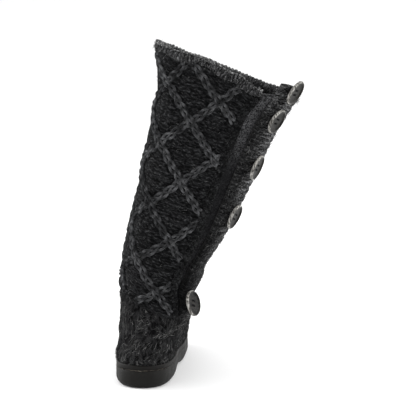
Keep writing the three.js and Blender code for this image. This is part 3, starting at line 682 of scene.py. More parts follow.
def horn_material():
    shader = Shader("horn")
    clouds = shader.noise(230, 5, 1.5)
    streaks = shader.noise(620, 3, stretch=(1, 1, 0.3))
    face = shader.colours(shader.ramp(clouds, 0.42, 0.6), (0.0016, 0.0015, 0.0013), (0.018, 0.0165, 0.0145))
    # painted highlight: the pale rim colour
    rim = shader.colours(shader.ramp(streaks, 0.4, 0.66), (0.05, 0.047, 0.043), (0.42, 0.41, 0.385))
    made = shader.node("ShaderNodeMix", data_type="RGBA")
    shader.feed(made.inputs[0], shader.ramp(shader.parts("UV")[0], *RIM_HIGHLIGHT_RADII))
    shader.feed(made.inputs[6], face)
    shader.feed(made.inputs[7], rim)
    return shader.done(made.outputs[2], shader.bump(clouds, 0.0001), 0.45, 0.0, 0.08)


def plain_fibre(name, colour):
    shader = Shader(name)
    tone = shader.noise(300, 2)
    shades = shader.colours(shader.ramp(tone, 0.35, 0.65), tuple(0.3 * c for c in colour), colour)
    return shader.done(shades, None, 0.8)


purl = knit_material("purl_knit", INK, (0.062, 0.063, 0.066), 0.0036, 0.0062, 0.0013)
cable_yarn = strand_material("cable_yarn", (0.003, 0.0031, 0.0035), (0.125, 0.127, 0.132))
edge_yarn = knit_material("edge_yarn", INK, (0.055, 0.056, 0.058), 0.0026, 0.0034, 0.0006, 0.8)
garter = knit_material("garter_knit", CHARCOAL, (0.21, 0.211, 0.216), 0.0045, 0.0036, 0.0011, sheen=0.06)
# band_knit carries painted shade on its rear edge and on its lower part
band_knit = knit_material(
    "band_knit", INK, (0.33, 0.332, 0.338), 0.0045, 0.0036, 0.0011, sheen=0.06,
    painted_shade=(0.006, (HEM_LEVEL + 50) * MM, (HEM_LEVEL + 120) * MM, (COLLAR_LEVEL - 5) * MM),
)
# rim yarn: its marl is the yarn's own, its near-white tone a painted highlight along the collar's top edge
highlit_rim_yarn = knit_material("highlit_rim_yarn", (0.03, 0.03, 0.03), (0.8, 0.8, 0.8), 0.0024, 0.003, 0.0006, 0.9, 0.1)
brushed = pile_material(
    "brushed_pile", (0.0016, 0.0016, 0.0018), (0.036, 0.036, 0.037), 260, 0.002, stretch=(1, 1, 0.5)
)
# fleece: painted shade, darker low down where the slit is narrow and deep
fleece = pile_material(
    "fleece_pile", (0.006, 0.006, 0.0066), (0.15, 0.151, 0.156), 700, 0.0004, rise=(0.235, 0.295, 0.2)
)
lining = pile_material("lining_pile", (0.006, 0.006, 0.006), (0.03, 0.029, 0.028), 500, 0.0008)
sole_rubber = rubber_material("sole_rubber", (0.0032, 0.003, 0.0026), (0.0085, 0.0078, 0.0068), 1.8)
foxing_rubber = rubber_material("foxing_rubber", (0.0025, 0.0023, 0.002), (0.008, 0.007, 0.006), 0.3)
horn = horn_material()
dark_thread = plain_fibre("dark_thread", (0.012, 0.012, 0.013))
grey_fibre = plain_fibre("grey_fibre", (0.075, 0.075, 0.077))
foot_fibre = plain_fibre("foot_fibre", (0.1, 0.1, 0.1))
pale_fibre = plain_fibre("pale_fibre", (0.26, 0.26, 0.255))
dust_fibre = plain_fibre("dust_fibre", (0.16, 0.145, 0.125))


# Shaft knit: purl ground that swells between the cables, lining behind it
CABLE_BED = 0.9
CABLE_GROOVE = 1.3
PILLOW = 1.3
HEM_ROLL = 3.2
CREASE_SWAY = 3
PANEL_FADE = EDGE_CABLE_WIDTH / 2
# Swellings over the hem: height, reach, side, spread, depth
HEM_PUFF = [(0.19, 0.12, 55, 26, 2.2), (0.12, 0.083, 20, 22, 1.2), (0.35, 0.07, 30, 40, -0.9)]
SHAFT_ROW_STEP = 1.25
SHAFT_COLUMNS = 196
LINING_ROWS = 44
# Main creases of the leg: level over the hem, turn, half length in turn, half width, depth
CREASES = [
    (16, 20, 34, 3.0, -1.9),
    (30, 62, 22, 3.0, -1.6),
    (22, 330, 40, 3.4, -1.0),
    (44, 345, 36, 4.0, -0.9),
    (12, 180, 60, 4.0, -1.6),
    (34, 190, 50, 5.0, -1.5),
    (60, 172, 40, 5.0, -1.1),
    (96, 300, 30, 6.0, -0.7),
]


def trellis_phases(level, distance):
    across = (distance - grain_at(level)) / DIAMOND_WIDTH
    up = (level - HEM_LEVEL - FIRST_CROSSING) / DIAMOND_HEIGHT
    return across + up, across - up


def nearness(phase):
    return np.abs(phase - np.round(phase))


def panel_margin(level, distance):
    edges = edges_at(level)
    behind = smooth(0, PANEL_FADE, edges["panel_back"] - EDGE_CABLE_WIDTH - distance)
    return behind * smooth(0, PANEL_FADE, distance - edges["panel_front"])


def ground(level, distance, turn):
    over = level - HEM_LEVEL
    height = over / DIAMOND_HEIGHT
    a, b = trellis_phases(level, distance)
    near = np.minimum(nearness(a), nearness(b))
    cable = CABLE_BED * bell(near, 0.05) - CABLE_GROOVE * bell(near - 0.115, 0.03)
    pillow = np.abs(np.sin(math.pi * a) * np.sin(math.pi * b))
    relief = HEM_ROLL * (1 - smooth(4.5, 9, over)) * smooth(-0.5, 2.5, over)
    relief = relief + (cable + PILLOW * pillow) * panel_margin(level, distance)
    for at, reach, side, spread, deep in HEM_PUFF:
        relief = relief + deep * bell(height - at, reach) * bell(np.degrees(angle_from(turn, side)), spread)
    for at, side, half, width, deep in CREASES:
        apart = np.degrees(angle_from(turn, side))
        sway = at + CREASE_SWAY * np.sin(np.radians(apart * 3))
        relief = relief + deep * bell(over - sway, width) * bell(apart, half)
    return relief


def outer_skin(level, distance, lift=0.0):
    turn = turn_at(level, distance)
    return skin(level, turn, ground(level, distance, turn) + lift)


def panel_grid(levels):
    edges = edges_at(levels)
    columns = np.linspace(0, 1, SHAFT_COLUMNS)
    distance = mix(edges["panel_front"][:, None], edges["panel_back"][:, None], columns)
    level = np.broadcast_to(levels[:, None], distance.shape)
    return level, distance, turn_at(level, distance)


def shaft_knit():
    levels = np.append(np.arange(HEM_LEVEL + GAP, COLLAR_LEVEL, SHAFT_ROW_STEP), COLLAR_LEVEL)
    level, distance, turn = panel_grid(levels)
    outer = skin(level, turn, ground(level, distance, turn))
    inner_levels = np.linspace(COLLAR_LEVEL, HEM_LEVEL + GAP, LINING_ROWS)
    inner_level, inner_distance, inner_turn = panel_grid(inner_levels)
    inner = skin(inner_level, inner_turn, -WALL)
    for edge in (0, -1):
        outer[:, edge] = skin(levels, turn[:, edge], -WALL)
    patches = Patches()
    patches.wall(outer, uv_grid(distance, level), inner, uv_grid(inner_distance, inner_level))
    return patches.piece("shaft_knit", "cable_knit", [purl, lining], ["shaft"])


# Cables plaited of three flat strands along the trellis; the falling ones pass over
STRAND_RADIUS = 1.5
STRAND_APART = 3.2
STRAND_PITCH = 38.0
ROPE_FLATNESS = 0.45
CABLE_STEP = 1.2
CABLE_STOP = 4.0
CABLE_DIP = 2.6
CABLE_DIP_RUN = 6
CABLE_SHORTEST = 8
CROSSING_OVER = 0.9
CROSSING_UNDER = -1.3
WOBBLE = 0.35


def rope(patches, path, out, radius, apart, pitch, strands=2, material=0, sides=8, plump=0.12, start=0.0):
    tangent = unit(np.gradient(path, axis=0))
    side = unit(np.cross(tangent, out))
    length = run_along(path)
    for k in range(strands):
        phase = start + 2 * math.pi * (length / pitch + k / strands)
        lateral = apart * np.cos(phase)
        rise = ROPE_FLATNESS * apart * (np.sin(phase) if strands == 2 else 0.7 * np.sin(2 * phase))
        strand = path + side * lateral[:, None] + out * rise[:, None]
        thick = radius * (1 + plump * np.cos(2 * phase + 0.6))
        ends = np.minimum(length, length[-1] - length)
        thick = thick * np.sqrt(np.clip(ends / (1.5 * radius), 0, 1))
        patches.tube(strand, thick, out, sides, material)


def cable_lines():
    lines = []
    levels = np.arange(HEM_LEVEL + 5, COLLAR_LEVEL - 0.5, CABLE_STEP)
    up = (levels - HEM_LEVEL - FIRST_CROSSING) / DIAMOND_HEIGHT
    edges = edges_at(levels)
    for lean in (-1, 1):
        for n in range(-9, 10):
            distance = grain_at(levels) + DIAMOND_WIDTH * (n + lean * up)
            front_margin = distance - edges["panel_front"] - 1
            margin = np.minimum(front_margin, edges["panel_back"] - CABLE_STOP - distance)
            kept = margin > 0
            if kept.sum() > CABLE_SHORTEST:
                lines.append((lean, levels[kept], distance[kept], margin[kept]))
    return lines


def trellis_cables():
    patches = Patches()
    for lean, levels, distance, margin in cable_lines():
        a, b = trellis_phases(levels, distance)
        crossing = bell(nearness(b if lean < 0 else a), 0.1)
        lift = crossing * (CROSSING_OVER if lean < 0 else CROSSING_UNDER)
        lift = lift - CABLE_DIP * (1 - smooth(0, CABLE_DIP_RUN, margin))
        path = outer_skin(levels, distance, lift)
        out = form_normal(levels, turn_at(levels, distance))
        wobble = waves(path, 9, 4, 6) * WOBBLE
        side = unit(np.cross(np.gradient(path, axis=0), out))
        start = random.uniform(0, 2 * math.pi)
        middle = path + side * wobble[:, None]
        rope(patches, middle, out, STRAND_RADIUS, STRAND_APART, STRAND_PITCH, strands=3, start=start)
    return patches.piece("trellis_cables", "cable_knit", [cable_yarn])


# Cable along the rear edge of the slit, and the rounded edge itself
EDGE_STRAND = 2.3
EDGE_PITCH = 15.0
EDGE_LIFT = 1.2
EDGE_FOLLOW = 0.6
EDGE_RADIUS = 1.9
EDGE_INSET = 0.6


def edge_cable():
    levels = np.arange(HEM_LEVEL + 1, COLLAR_LEVEL + 1, CABLE_STEP)
    edges = edges_at(levels)
    distance = edges["panel_back"] - EDGE_CABLE_WIDTH / 2
    turn = turn_at(levels, distance)
    path = skin(levels, turn, EDGE_LIFT + ground(levels, distance, turn) * EDGE_FOLLOW)
    patches = Patches()
    rope(patches, path, form_normal(levels, turn), EDGE_STRAND, EDGE_STRAND, EDGE_PITCH, sides=10)
    turn = turn_at(levels, edges["panel_back"] - EDGE_INSET)
    patches.tube(skin(levels, turn, -WALL / 2), EDGE_RADIUS, form_normal(levels, turn), 10)
    return patches.piece("edge_cable", "cable_knit", [edge_yarn])


# Rolled lower edge of the shaft
HEM_CORD_LEVEL = HEM_LEVEL + 2.6
HEM_CORD = dict(radius=1.5, apart=0.8, pitch=8.0)


def hem_edge():
    share = np.linspace(0.004, 0.996, 300)
    level = np.full(len(share), HEM_CORD_LEVEL)
    edges = edges_at(level)
    distance = mix(edges["panel_front"], edges["panel_back"], share)
    turn = turn_at(level, distance)
    path = skin(level, turn, 1.0 + 0.5 * np.sin(distance * 0.35))
    patches = Patches()
    rope(patches, path, form_normal(level, turn), **HEM_CORD)
    return patches.piece("hem_edge", "cable_knit", [edge_yarn])


# Collar: a roll of coiled rib, with a bound-off chain on its top
ROLL_SEAT = 1.2
COIL_PITCH = 5.2
COIL_HOLLOW = 0.75
COIL_RISE = 0.95
ROLL_END = 3.5
CORNER_SWELL = 0.5
CORNER_PLACE = 5
CORNER_REACH = 9
CHAIN_RISE = 3.9
CHAIN = dict(radius=1.3, apart=1.6, pitch=8.5, material=1, plump=0.3)


def collar_path(share):
    level = np.full(len(share), float(COLLAR_LEVEL))
    edges = edges_at(level)
    distance = mix(edges["panel_front"] + GAP, edges["panel_back"], share)
    turn = turn_at(level, distance)
    up = unit(skin(level, turn, 0) - skin(level - 2, turn, 0))
    centre = skin(level, turn, -WALL / 2) + up * (ROLL_DIAMETER / 2 - ROLL_SEAT)
    return centre, up, form_normal(level, turn)


def collar_roll():
    share = np.linspace(0, 1, 420)
    centre, up, out = collar_path(share)
    length = run_along(centre)
    angle = np.linspace(0, 2 * math.pi, 29)
    side = unit(np.cross(np.gradient(centre, axis=0), out))
    coil = np.abs(np.sin(math.pi * (length[:, None] / COIL_PITCH + angle[None, :] / (2 * math.pi))))
    ends = np.sqrt(np.clip(np.minimum(length, length[-1] - length) / ROLL_END, 0, 1))[:, None]
    corner = 1 + CORNER_SWELL * bell(length - CORNER_PLACE, CORNER_REACH)[:, None]
    lumps = 0.7 * waves(centre, 16, 5)[:, None] + 0.35 * waves(centre, 6, 9)[:, None]
    radius = (ROLL_DIAMETER / 2 - COIL_HOLLOW + COIL_RISE * coil + lumps) * ends * corner
    ring = out[:, None] * np.cos(angle)[:, None] - side[:, None] * np.sin(angle)[:, None]
    patches = Patches()
    patches.grid(centre[:, None] - ring * radius[..., None], uv_grid(angle[None, :] * 4, length[:, None]))
    loops = 0.6 * waves(centre, 5, 2)[:, None]
    chain = centre + up * (CHAIN_RISE + loops) + out * (1.0 + loops)
    # the bound-off chain in the near-white rim yarn, a painted highlight
    rope(patches, chain, out, **CHAIN)
    return patches.piece("collar_rib", "rib_knit", [garter, highlit_rim_yarn], ["collar_roll"])


# Button band: thick garter strip with a lobe to each pitch and slouched folds
BAND_PROFILE = curve_through([0, 0.2, 0.5, 0.8, 1], [0.45, 0.92, 1, 0.92, 0.5])
BAND_DROOP = 7.0
DROOP_HEIGHT = 0.66
DROOP_REACH = 0.12
TAB_ROUND = 7.0
TAB_RUN = 13
BAND_ROW_STEP = 0.9
BAND_COLUMNS = 22
BAND_INNER_COLUMNS = 8
LOBE_MIDDLE = 0.65


def band_swell(height):
    return sum(swell * bell(height - at, reach) for at, reach, swell in BAND_FOLDS)


def band_section(levels):
    height = diamonds_up(levels)
    lobe = np.abs(np.sin(math.pi * (levels - HEM_LEVEL) / SCALLOP_PITCH))[:, None]
    place = np.linspace(0, 1, BAND_COLUMNS)[None, :]
    droop = BAND_DROOP * bell(height - DROOP_HEIGHT, DROOP_REACH)[:, None] * BAND_PROFILE(place)
    tab = TAB_ROUND * smooth(BAND_TOP - TAB_RUN, BAND_TOP, levels)[:, None] * np.abs(2 * place - 1) ** 2.5
    level = levels[:, None] - droop - tab
    edges = edges_at(level)
    distance = mix(edges["band_back"], edges["band_front"], place)
    distance = distance + SCALLOP_DEPTH * (1 - lobe) * (bell(place, 0.1) - bell(1 - place, 0.1))
    rise = BAND_PROFILE(place)
    offset = BAND_THICKNESS * rise * (1 + band_swell(height)[:, None])
    offset = offset + SCALLOP_DEPTH * (lobe - LOBE_MIDDLE) * rise
    outer = skin(level, turn_at(level, distance), offset)
    inner_place = np.linspace(1, 0, BAND_INNER_COLUMNS)[None, :]
    inner_level = np.broadcast_to(levels[:, None], (len(levels), BAND_INNER_COLUMNS))
    inner_edges = edges_at(inner_level)
    inner_distance = mix(inner_edges["band_back"] + SCALLOP_DEPTH, inner_edges["band_front"], inner_place)
    inner = skin(inner_level, turn_at(inner_level, inner_distance), -WALL)
    points = np.concatenate([outer, inner, outer[:, :1]], axis=1)
    flat = np.concatenate([place, inner_place, place[:, :1]], axis=1) * BAND_WIDTH
    rows = np.concatenate([level, inner_level, level[:, :1]], axis=1)
    return points, uv_grid(flat, rows)


def button_band():
    patches = Patches()
    patches.capped(*band_section(np.arange(HEM_LEVEL + GAP, BAND_TOP, BAND_ROW_STEP)))
    return patches.piece("button_band_knit", "rib_knit", [band_knit], ["button_band"])


# Gusset: fleece behind the slit, standing a little over the collar's edge
GUSSET_RISE = 3
GUSSET_SWELL = 3.0
GUSSET_SWELL_BELOW = 26
GUSSET_SWELL_REACH = 22
GUSSET_WAVES = 0.7


def gusset():
    levels = np.linspace(HEM_LEVEL + GAP, COLLAR_LEVEL + GUSSET_RISE, 110)
    edges = edges_at(levels)
    place = np.linspace(0, 1, 14)
    distance = mix(edges["panel_back"][:, None] - GUSSET_LAP, edges["band_back"][:, None] + GUSSET_LAP, place)
    level = np.broadcast_to(levels[:, None], distance.shape)
    turn = turn_at(level, distance)
    swell = GUSSET_SWELL * bell(level - COLLAR_LEVEL + GUSSET_SWELL_BELOW, GUSSET_SWELL_REACH)
    folds = swell * bell(place - 0.5, 0.2) + GUSSET_WAVES * waves(skin(level, turn, 0.0), 9, 7)
    outside = skin(level, turn, folds - WALL - LINING_GAP)
    inside = skin(level, turn, -WALL - LINING_GAP - GUSSET_THICKNESS)[:, ::-1]
    points = np.concatenate([outside, inside, outside[:, :1]], axis=1)
    flat = np.concatenate([distance, distance[:, ::-1], distance[:, :1]], axis=1)
    patches = Patches()
    patches.capped(points, uv_grid(flat, levels[:, None]))
    return patches.piece("gusset_fleece", "fleece", [fleece], ["gusset"])


# Foot: brushed pile in locks, the counter a step above the quarters, a seam down from the slit
def counter_step(level, turn):
    share = level / HEM_LEVEL
    edge = np.radians(mix(COUNTER_EDGE_SOLE, COUNTER_EDGE_HEM, share))
    side = np.abs(wrapped(turn))
    inside = 1 - smooth(edge, edge + math.radians(COUNTER_RUN), side)
    return COUNTER_STEP * inside * smooth(0.02, 0.1, share)


# The seam down from the slit: how high it starts, how much and over what width it rises
SEAM_BASE = 57
SEAM_RISE = 20
SEAM_START = 14
SEAM_REACH = 36
SEAM_DEPTH = 1.5
SEAM_WIDTH = 1.8
HEM_FADE = 10
FOOT_GIRTH = 60


def seam_height(points):
    return SEAM_BASE + SEAM_RISE * np.clip((-points[..., 0] - SEAM_START) / SEAM_REACH, 0, 1) ** 1.4


def seam_share(points):
    x, y = points[..., 0], points[..., 1]
    return smooth(8, 16, -x) * smooth(-25, 0, y)


def foot_relief(level, turn):
    points = form_point(level, turn)
    stretched = points * np.array([1, 1, 0.4])
    locks = 0.55 * waves(stretched, 3.2) + 0.5 * waves(points, 9.0, 8)
    seam = SEAM_DEPTH * bell(points[..., 2] - seam_height(points), SEAM_WIDTH) * seam_share(points)
    fade = smooth(0, 8, level) * (1 - 0.6 * smooth(HEM_LEVEL - HEM_FADE, HEM_LEVEL, level))
    return counter_step(level, turn) + locks * fade - seam * fade


FOOT_TURNS = np.linspace(0, 2 * math.pi, 241)


def foot_knit():
    levels = np.linspace(0, HEM_LEVEL, 112)[:, None]
    inner_levels = np.linspace(HEM_LEVEL, 0, 30)[:, None]
    outer = skin(levels, FOOT_TURNS, foot_relief(levels, FOOT_TURNS))
    inner = skin(inner_levels, FOOT_TURNS, -WALL)
    outer[0, :, 2] = form_point(0, FOOT_TURNS)[:, 2]
    inner[-1, :, 2] = outer[0, :, 2]
    outer[:, -1], inner[:, -1] = outer[:, 0], inner[:, 0]
    patches = Patches()
    across = FOOT_TURNS * FOOT_GIRTH
    patches.wall(outer, uv_grid(across, levels), inner, uv_grid(across, inner_levels))
    return patches.piece("foot_pile", "brushed_knit", [brushed, lining], ["foot_upper"])


# Hairs: closed spindles of three sides, all cut from one grid
HAIR_STEPS = 3
HAIR_SIDES = 3
HAIR_THICKNESS = np.array([0, 1, 0.9, 0])
FOOT_FIBRES = [dark_thread, foot_fibre, pale_fibre]
KNIT_FIBRES = [dark_thread, grey_fibre, pale_fibre]


def fibre_sizes(count, lengths, widths, shares):
    length = random.uniform(*lengths, count)
    width = random.uniform(*widths, count)
    return length, width, random.choice(len(shares), count, p=shares)


def hairs(name, roots, along, out, sizes, materials, lift, wave):
    length, width, choice = sizes
    count = len(roots)
    share = np.linspace(0, 1, HAIR_STEPS + 1)
    along = unit(along)
    side = unit(np.cross(along, out))
    rise = random.uniform(*lift, count)[:, None]
    swing = random.normal(0, wave, count)[:, None]
    turns = random.uniform(0.4, 1.3, count)[:, None]
    phase = random.uniform(0, 2 * math.pi, count)[:, None]
    drift = random.normal(0, wave, count)[:, None] * share**2
    sway = swing * (np.sin(phase + 2 * math.pi * turns * share) - np.sin(phase)) + drift
    high = rise * share * (1.4 - 0.8 * share)
    course = along[:, None] * share[:, None] + out[:, None] * high[..., None]
    course = course + side[:, None] * sway[..., None]
    path = roots[:, None] + length[:, None, None] * course
    tangent = unit(np.gradient(path, axis=1))
    across = unit(np.cross(tangent, out[:, None]))
    over = np.cross(across, tangent)
    angle = np.linspace(0, 2 * math.pi, HAIR_SIDES + 1)
    thick = HAIR_THICKNESS[:, None, None] * width[:, None, None, None] / 2
    ring = over[:, :, None] * np.cos(angle)[:, None] - across[:, :, None] * np.sin(angle)[:, None]
    points = path[:, :, None] - ring * thick
    mesh = bmesh.new()
    rings = count * (HAIR_STEPS + 1)
    bmesh.ops.create_grid(mesh, x_segments=HAIR_SIDES, y_segments=rings - 1, size=1)
    mesh.faces.ensure_lookup_table()
    between = range(HAIR_STEPS, rings - 1, HAIR_STEPS + 1)
    spare = [mesh.faces[HAIR_SIDES * r + k] for r in between for k in range(HAIR_SIDES)]
    bmesh.ops.delete(mesh, geom=spare, context="FACES")
    data = mesh_data(name, mesh)
    data.vertices.foreach_set("co", (points * MM).ravel())
    data.polygons.foreach_set("material_index", np.repeat(choice, HAIR_SIDES * HAIR_STEPS).astype(np.int32))
    return finish_piece(data, name, materials)


# Evenly strewn places on the foot: places are kept in proportion to the area that they stand for
FOOT_HAIRS = 9600
# run under the hem where foot hairs carry painted shadow; the shaft fluff starts as far above it
HEM_SHADOW_RUN = 7


def foot_spots(count):
    levels, turns = [], []
    while len(levels) < count:
        level = random.uniform(3.0, HEM_LEVEL - 1, 4 * count)
        turn = random.uniform(0, 2 * math.pi, 4 * count)
        sides = sidewards(level, turn, 0.02), upwards(level, turn)
        area = np.linalg.norm(sides[0], axis=1) * np.linalg.norm(sides[1], axis=1)
        kept = random.uniform(0, np.quantile(area, 0.97), len(area)) < area
        levels += list(level[kept])
        turns += list(turn[kept])
    return np.array(levels[:count]), np.array(turns[:count])


def foot_hairs():
    level, turn = foot_spots(FOOT_HAIRS)
    roots = skin(level, turn, foot_relief(level, turn) - 0.4)
    out = form_normal(level, turn)
    up = unit(upwards(level, turn))
    side = np.cross(up, out)
    lean = 1.0 * waves(roots, 8.0, 3, 9) + random.normal(0, 0.3, len(level))
    flip = np.where(waves(roots, 11.0, 12) > 0.1, 1.0, -1.0)
    along = up * (np.cos(lean) * flip)[:, None] + side * np.sin(lean)[:, None]
    on_seam = (np.abs(roots[:, 2] - seam_height(roots)) < 2.2) & (seam_share(roots) > 0.3)
    along = np.where(on_seam[:, None], np.array([-0.9, 0.0, 0.45]), along)
    low = np.minimum(1, level / 14 + (flip > 0) * 0.6)
    high = np.minimum(1, (HEM_LEVEL - level) / 14 + (flip < 0) * 0.6)
    length, width, choice = fibre_sizes(FOOT_HAIRS, (6, 12), (0.2, 0.44), [0.34, 0.58, 0.08])
    choice = np.where(on_seam & (choice == 0), 2, choice)
    # painted shadow: hairs just under the hem are all dark, as in the shadow of the hem's roll
    choice = np.where(level > HEM_LEVEL - HEM_SHADOW_RUN, 0, choice)
    sizes = length * np.minimum(low, high), width, choice
    return hairs("foot_hairs", roots, along, out, sizes, FOOT_FIBRES, (0.03, 0.3), 0.12)


# Fluff that stands off the knit of leg, band and collar
SHAFT_FLUFF = 5600
RIB_FLUFF = 1600


def shaft_fluff():
    count = SHAFT_FLUFF
    share = random.uniform(0, 1, count)
    level = mix(HEM_LEVEL + HEM_SHADOW_RUN, COLLAR_LEVEL - 1, share)
    edges = edges_at(level)
    distance = mix(edges["panel_front"] + 2, edges["panel_back"] - 1, random.uniform(0, 1, count))
    turn = turn_at(level, distance)
    a, b = trellis_phases(level, distance)
    on_cable = (np.minimum(nearness(a), nearness(b)) < 0.06) & (panel_margin(level, distance) > 0.5)
    lift = ground(level, distance, turn) + np.where(on_cable, 3.0, -0.2)
    roots = skin(level, turn, lift)
    out = form_normal(level, turn)
    round_ = unit(sidewards(level, turn))
    up = np.cross(out, round_)
    lean = random.normal(0, 0.5, count) + np.where(random.uniform(0, 1, count) < 0.5, 0, math.pi)
    slope = np.where(nearness(a) < nearness(b), -1, 1) * 0.8
    lean = lean + np.where(on_cable, slope, 0)
    along = round_ * np.cos(lean)[:, None] + up * np.sin(lean)[:, None]
    length, width, choice = fibre_sizes(count, (2.5, 6.5), (0.1, 0.2), [0.4, 0.48, 0.12])
    choice = np.where(on_cable, np.maximum(choice, 1), choice)
    sizes = length, width, choice
    return hairs("shaft_fluff", roots, along, out, sizes, KNIT_FIBRES, (0.08, 0.6), 0.15)


def rib_fluff():
    count = RIB_FLUFF
    level = random.uniform(HEM_LEVEL + 4, BAND_TOP - 1, count)
    place = random.uniform(0.02, 0.98, count)
    height = diamonds_up(level)
    edges = edges_at(level)
    turn = turn_at(level, mix(edges["band_back"], edges["band_front"], place))
    offset = BAND_THICKNESS * BAND_PROFILE(place) * (1 + band_swell(height)) - 0.3
    roots = skin(level, turn, offset)
    out = form_normal(level, turn)
    centre, up, face = collar_path(np.sort(random.uniform(0.005, 0.995, count)))
    angle = random.uniform(-0.6, 3.4, count)
    radial = face * np.cos(angle)[:, None] + up * np.sin(angle)[:, None]
    roots = np.concatenate([roots, centre + radial * (ROLL_DIAMETER / 2 - 0.4)])
    out = np.concatenate([out, radial])
    along = unit(np.cross(out, random.normal(size=(2 * count, 3))))
    sizes = fibre_sizes(2 * count, (2.5, 7), (0.14, 0.25), [0.25, 0.45, 0.3])
    return hairs("rib_fluff", roots, along, out, sizes, KNIT_FIBRES, (0.1, 0.7), 0.15)


# Outsole: rings from the middle of the tread round the side to the middle of the top
SOLE_TURNS = np.linspace(0, 2 * math.pi, 221)


def plan_point(turn):
    side = wrapped(turn)
    station = outline_station(side)
    half = np.where(np.sin(side) >= 0, -outline_lateral(side), outline_medial(side)) * BALL_WIDTH / 2
    return np.stack([half + spine_shift(station), HEEL_REACH - SOLE_LENGTH * station], axis=-1)


def plan_directions(turn):
    along = unit(plan_point(turn + 0.01) - plan_point(turn - 0.01))
    return along, np.stack([along[:, 1], -along[:, 0]], axis=-1)


def sole_ring(inset, height):
    points = plan_point(SOLE_TURNS) - plan_directions(SOLE_TURNS)[1] * inset
    station = np.clip((HEEL_REACH - points[:, 1]) / SOLE_LENGTH, 0, 1)
    return np.concatenate([points, height(station)[:, None]], axis=1)


def sole_spine(height):
    station = mix(SPINE_MARGIN, 1 - SPINE_MARGIN, outline_station(wrapped(SOLE_TURNS)))
    return np.stack([spine_shift(station), HEEL_REACH - SOLE_LENGTH * station, height(station)], axis=-1)


# Rounding of the sole's edge below, its straight side, and the rounding of its lip
def sole_rings():
    rings = [sole_spine(sole_bottom), sole_ring(TREAD_MARGIN, sole_bottom)]
    for angle in np.radians(range(90, -1, -10)):
        rise = SOLE_EDGE_RADIUS * (1 - math.sin(angle))
        inset = SOLE_EDGE_RADIUS * (1 - math.cos(angle))
        rings.append(sole_ring(inset, lambda s, up=rise: sole_bottom(s) + up))
    for share in (0.35, 0.7, 1):
        rings.append(sole_ring(0, lambda s, k=share: mix(
            sole_bottom(s) + SOLE_EDGE_RADIUS, sole_top(s) - SOLE_LIP_RADIUS, k
        )))
    for angle in np.radians((30, 60, 90)):
        drop = SOLE_LIP_RADIUS * (1 - math.sin(angle))
        inset = SOLE_LIP_RADIUS * (1 - math.cos(angle))
        rings.append(sole_ring(inset, lambda s, down=drop: sole_top(s) - down))
    return np.array([*rings, sole_spine(sole_top)])


def in_tread(station):
    return 0.06 < station < 0.27 or 0.56 < station < 0.84


def tread_bars():
    bars = bmesh.new()
    count = math.ceil(SOLE_LENGTH / LUG_PITCH)
    inner = sole_ring(TREAD_MARGIN, sole_bottom)
    for i in range(-count, count):
        y = (i + 0.5) * LUG_PITCH
        if not in_tread((HEEL_REACH - y) / SOLE_LENGTH):
            continue
        near = inner[np.abs(inner[:, 1] - y) < 3.5]
        left, right = near[near[:, 0] < 0, 0].max(), near[near[:, 0] > 0, 0].min()
        made = bmesh.ops.create_cube(bars, size=1)["verts"]
        bmesh.ops.scale(bars, vec=Vector((right - left, GROOVE_WIDTH, 2 * GROOVE_DEPTH)) * MM, verts=made)
        bmesh.ops.translate(bars, vec=Vector(((left + right) / 2, y, 0)) * MM, verts=made)
    return placed("tread_bars", mesh_data("tread_bars", bars))


def outsole():
    points = sole_rings()
    points[:, -1] = points[:, 0]
    patches = Patches()
    patches.grid(points, points[..., :2])
    piece = patches.piece("outsole_foam", "sole_rubber", [sole_rubber], ["outsole"])
    cutter = tread_bars()
    cut = piece.modifiers.new("tread", "BOOLEAN")
    cut.operation, cut.solver, cut.object = "DIFFERENCE", "EXACT", cutter
    bpy.context.view_layer.update()
    graph = bpy.context.evaluated_depsgraph_get()
    grooved = bpy.data.meshes.new_from_object(piece.evaluated_get(graph))
    piece.modifiers.remove(cut)
    piece.data = grooved
    bpy.data.objects.remove(cutter)
    return piece


# Foxing: a thin strip round the join, and the frayed pale line on the sole's edge
def foxing():
    levels = np.array([0, 0, 2, 4.2, 5.8, FOXING_HEIGHT, 5.8, 3, 0, 0])[:, None]
    thick = np.array([0.2, 0.9, 1, 1, 0.85, 0.3, 0, 0, 0, 0.2])[:, None] * FOXING_THICKNESS
    offset = counter_step(levels, FOOT_TURNS) + GAP + thick
    points = skin(levels, FOOT_TURNS, offset)
    points[levels[:, 0] == 0, :, 2] = form_point(0, FOOT_TURNS)[:, 2]
    points[:, -1] = points[:, 0]
    patches = Patches()
    patches.grid(points, uv_grid(FOOT_TURNS * FOOT_GIRTH, levels))
    return patches.piece("foxing_strip", "foxing_rubber", [foxing_rubber], ["foxing_band"])


FRAY_HAIRS = 620


def frayed_edge():
    count = FRAY_HAIRS
    turn = random.uniform(0, 2 * math.pi, count)
    plan = plan_point(turn)
    tangent, outward = plan_directions(turn)
    station = np.clip((HEEL_REACH - plan[:, 1]) / SOLE_LENGTH, 0, 1)
    inset = random.uniform(0.5, 2.2, count)
    height = sole_top(station) + random.uniform(0, 0.6, count)
    roots = np.concatenate([plan - outward * inset[:, None], height[:, None]], axis=1)
    flat = np.zeros((count, 1))
    way = np.where(random.uniform(0, 1, count) < 0.5, 1.0, -1.0)[:, None]
    along = np.concatenate([tangent * way + outward * random.normal(0, 0.15, count)[:, None], flat], axis=1)
    out = np.broadcast_to(np.array([0.0, 0.0, 1.0]), roots.shape)
    sizes = random.uniform(2.5, 7, count), random.uniform(0.2, 0.55, count), np.zeros(count, int)
    return hairs("frayed_edge", roots, along, out, sizes, [dust_fibre], (0, 0.16), 0.12)


# Buttons: turned discs in the places of the CAD buttons
BUTTON_RADIUS = 14.5
BUTTON_THICKNESS = 4.0
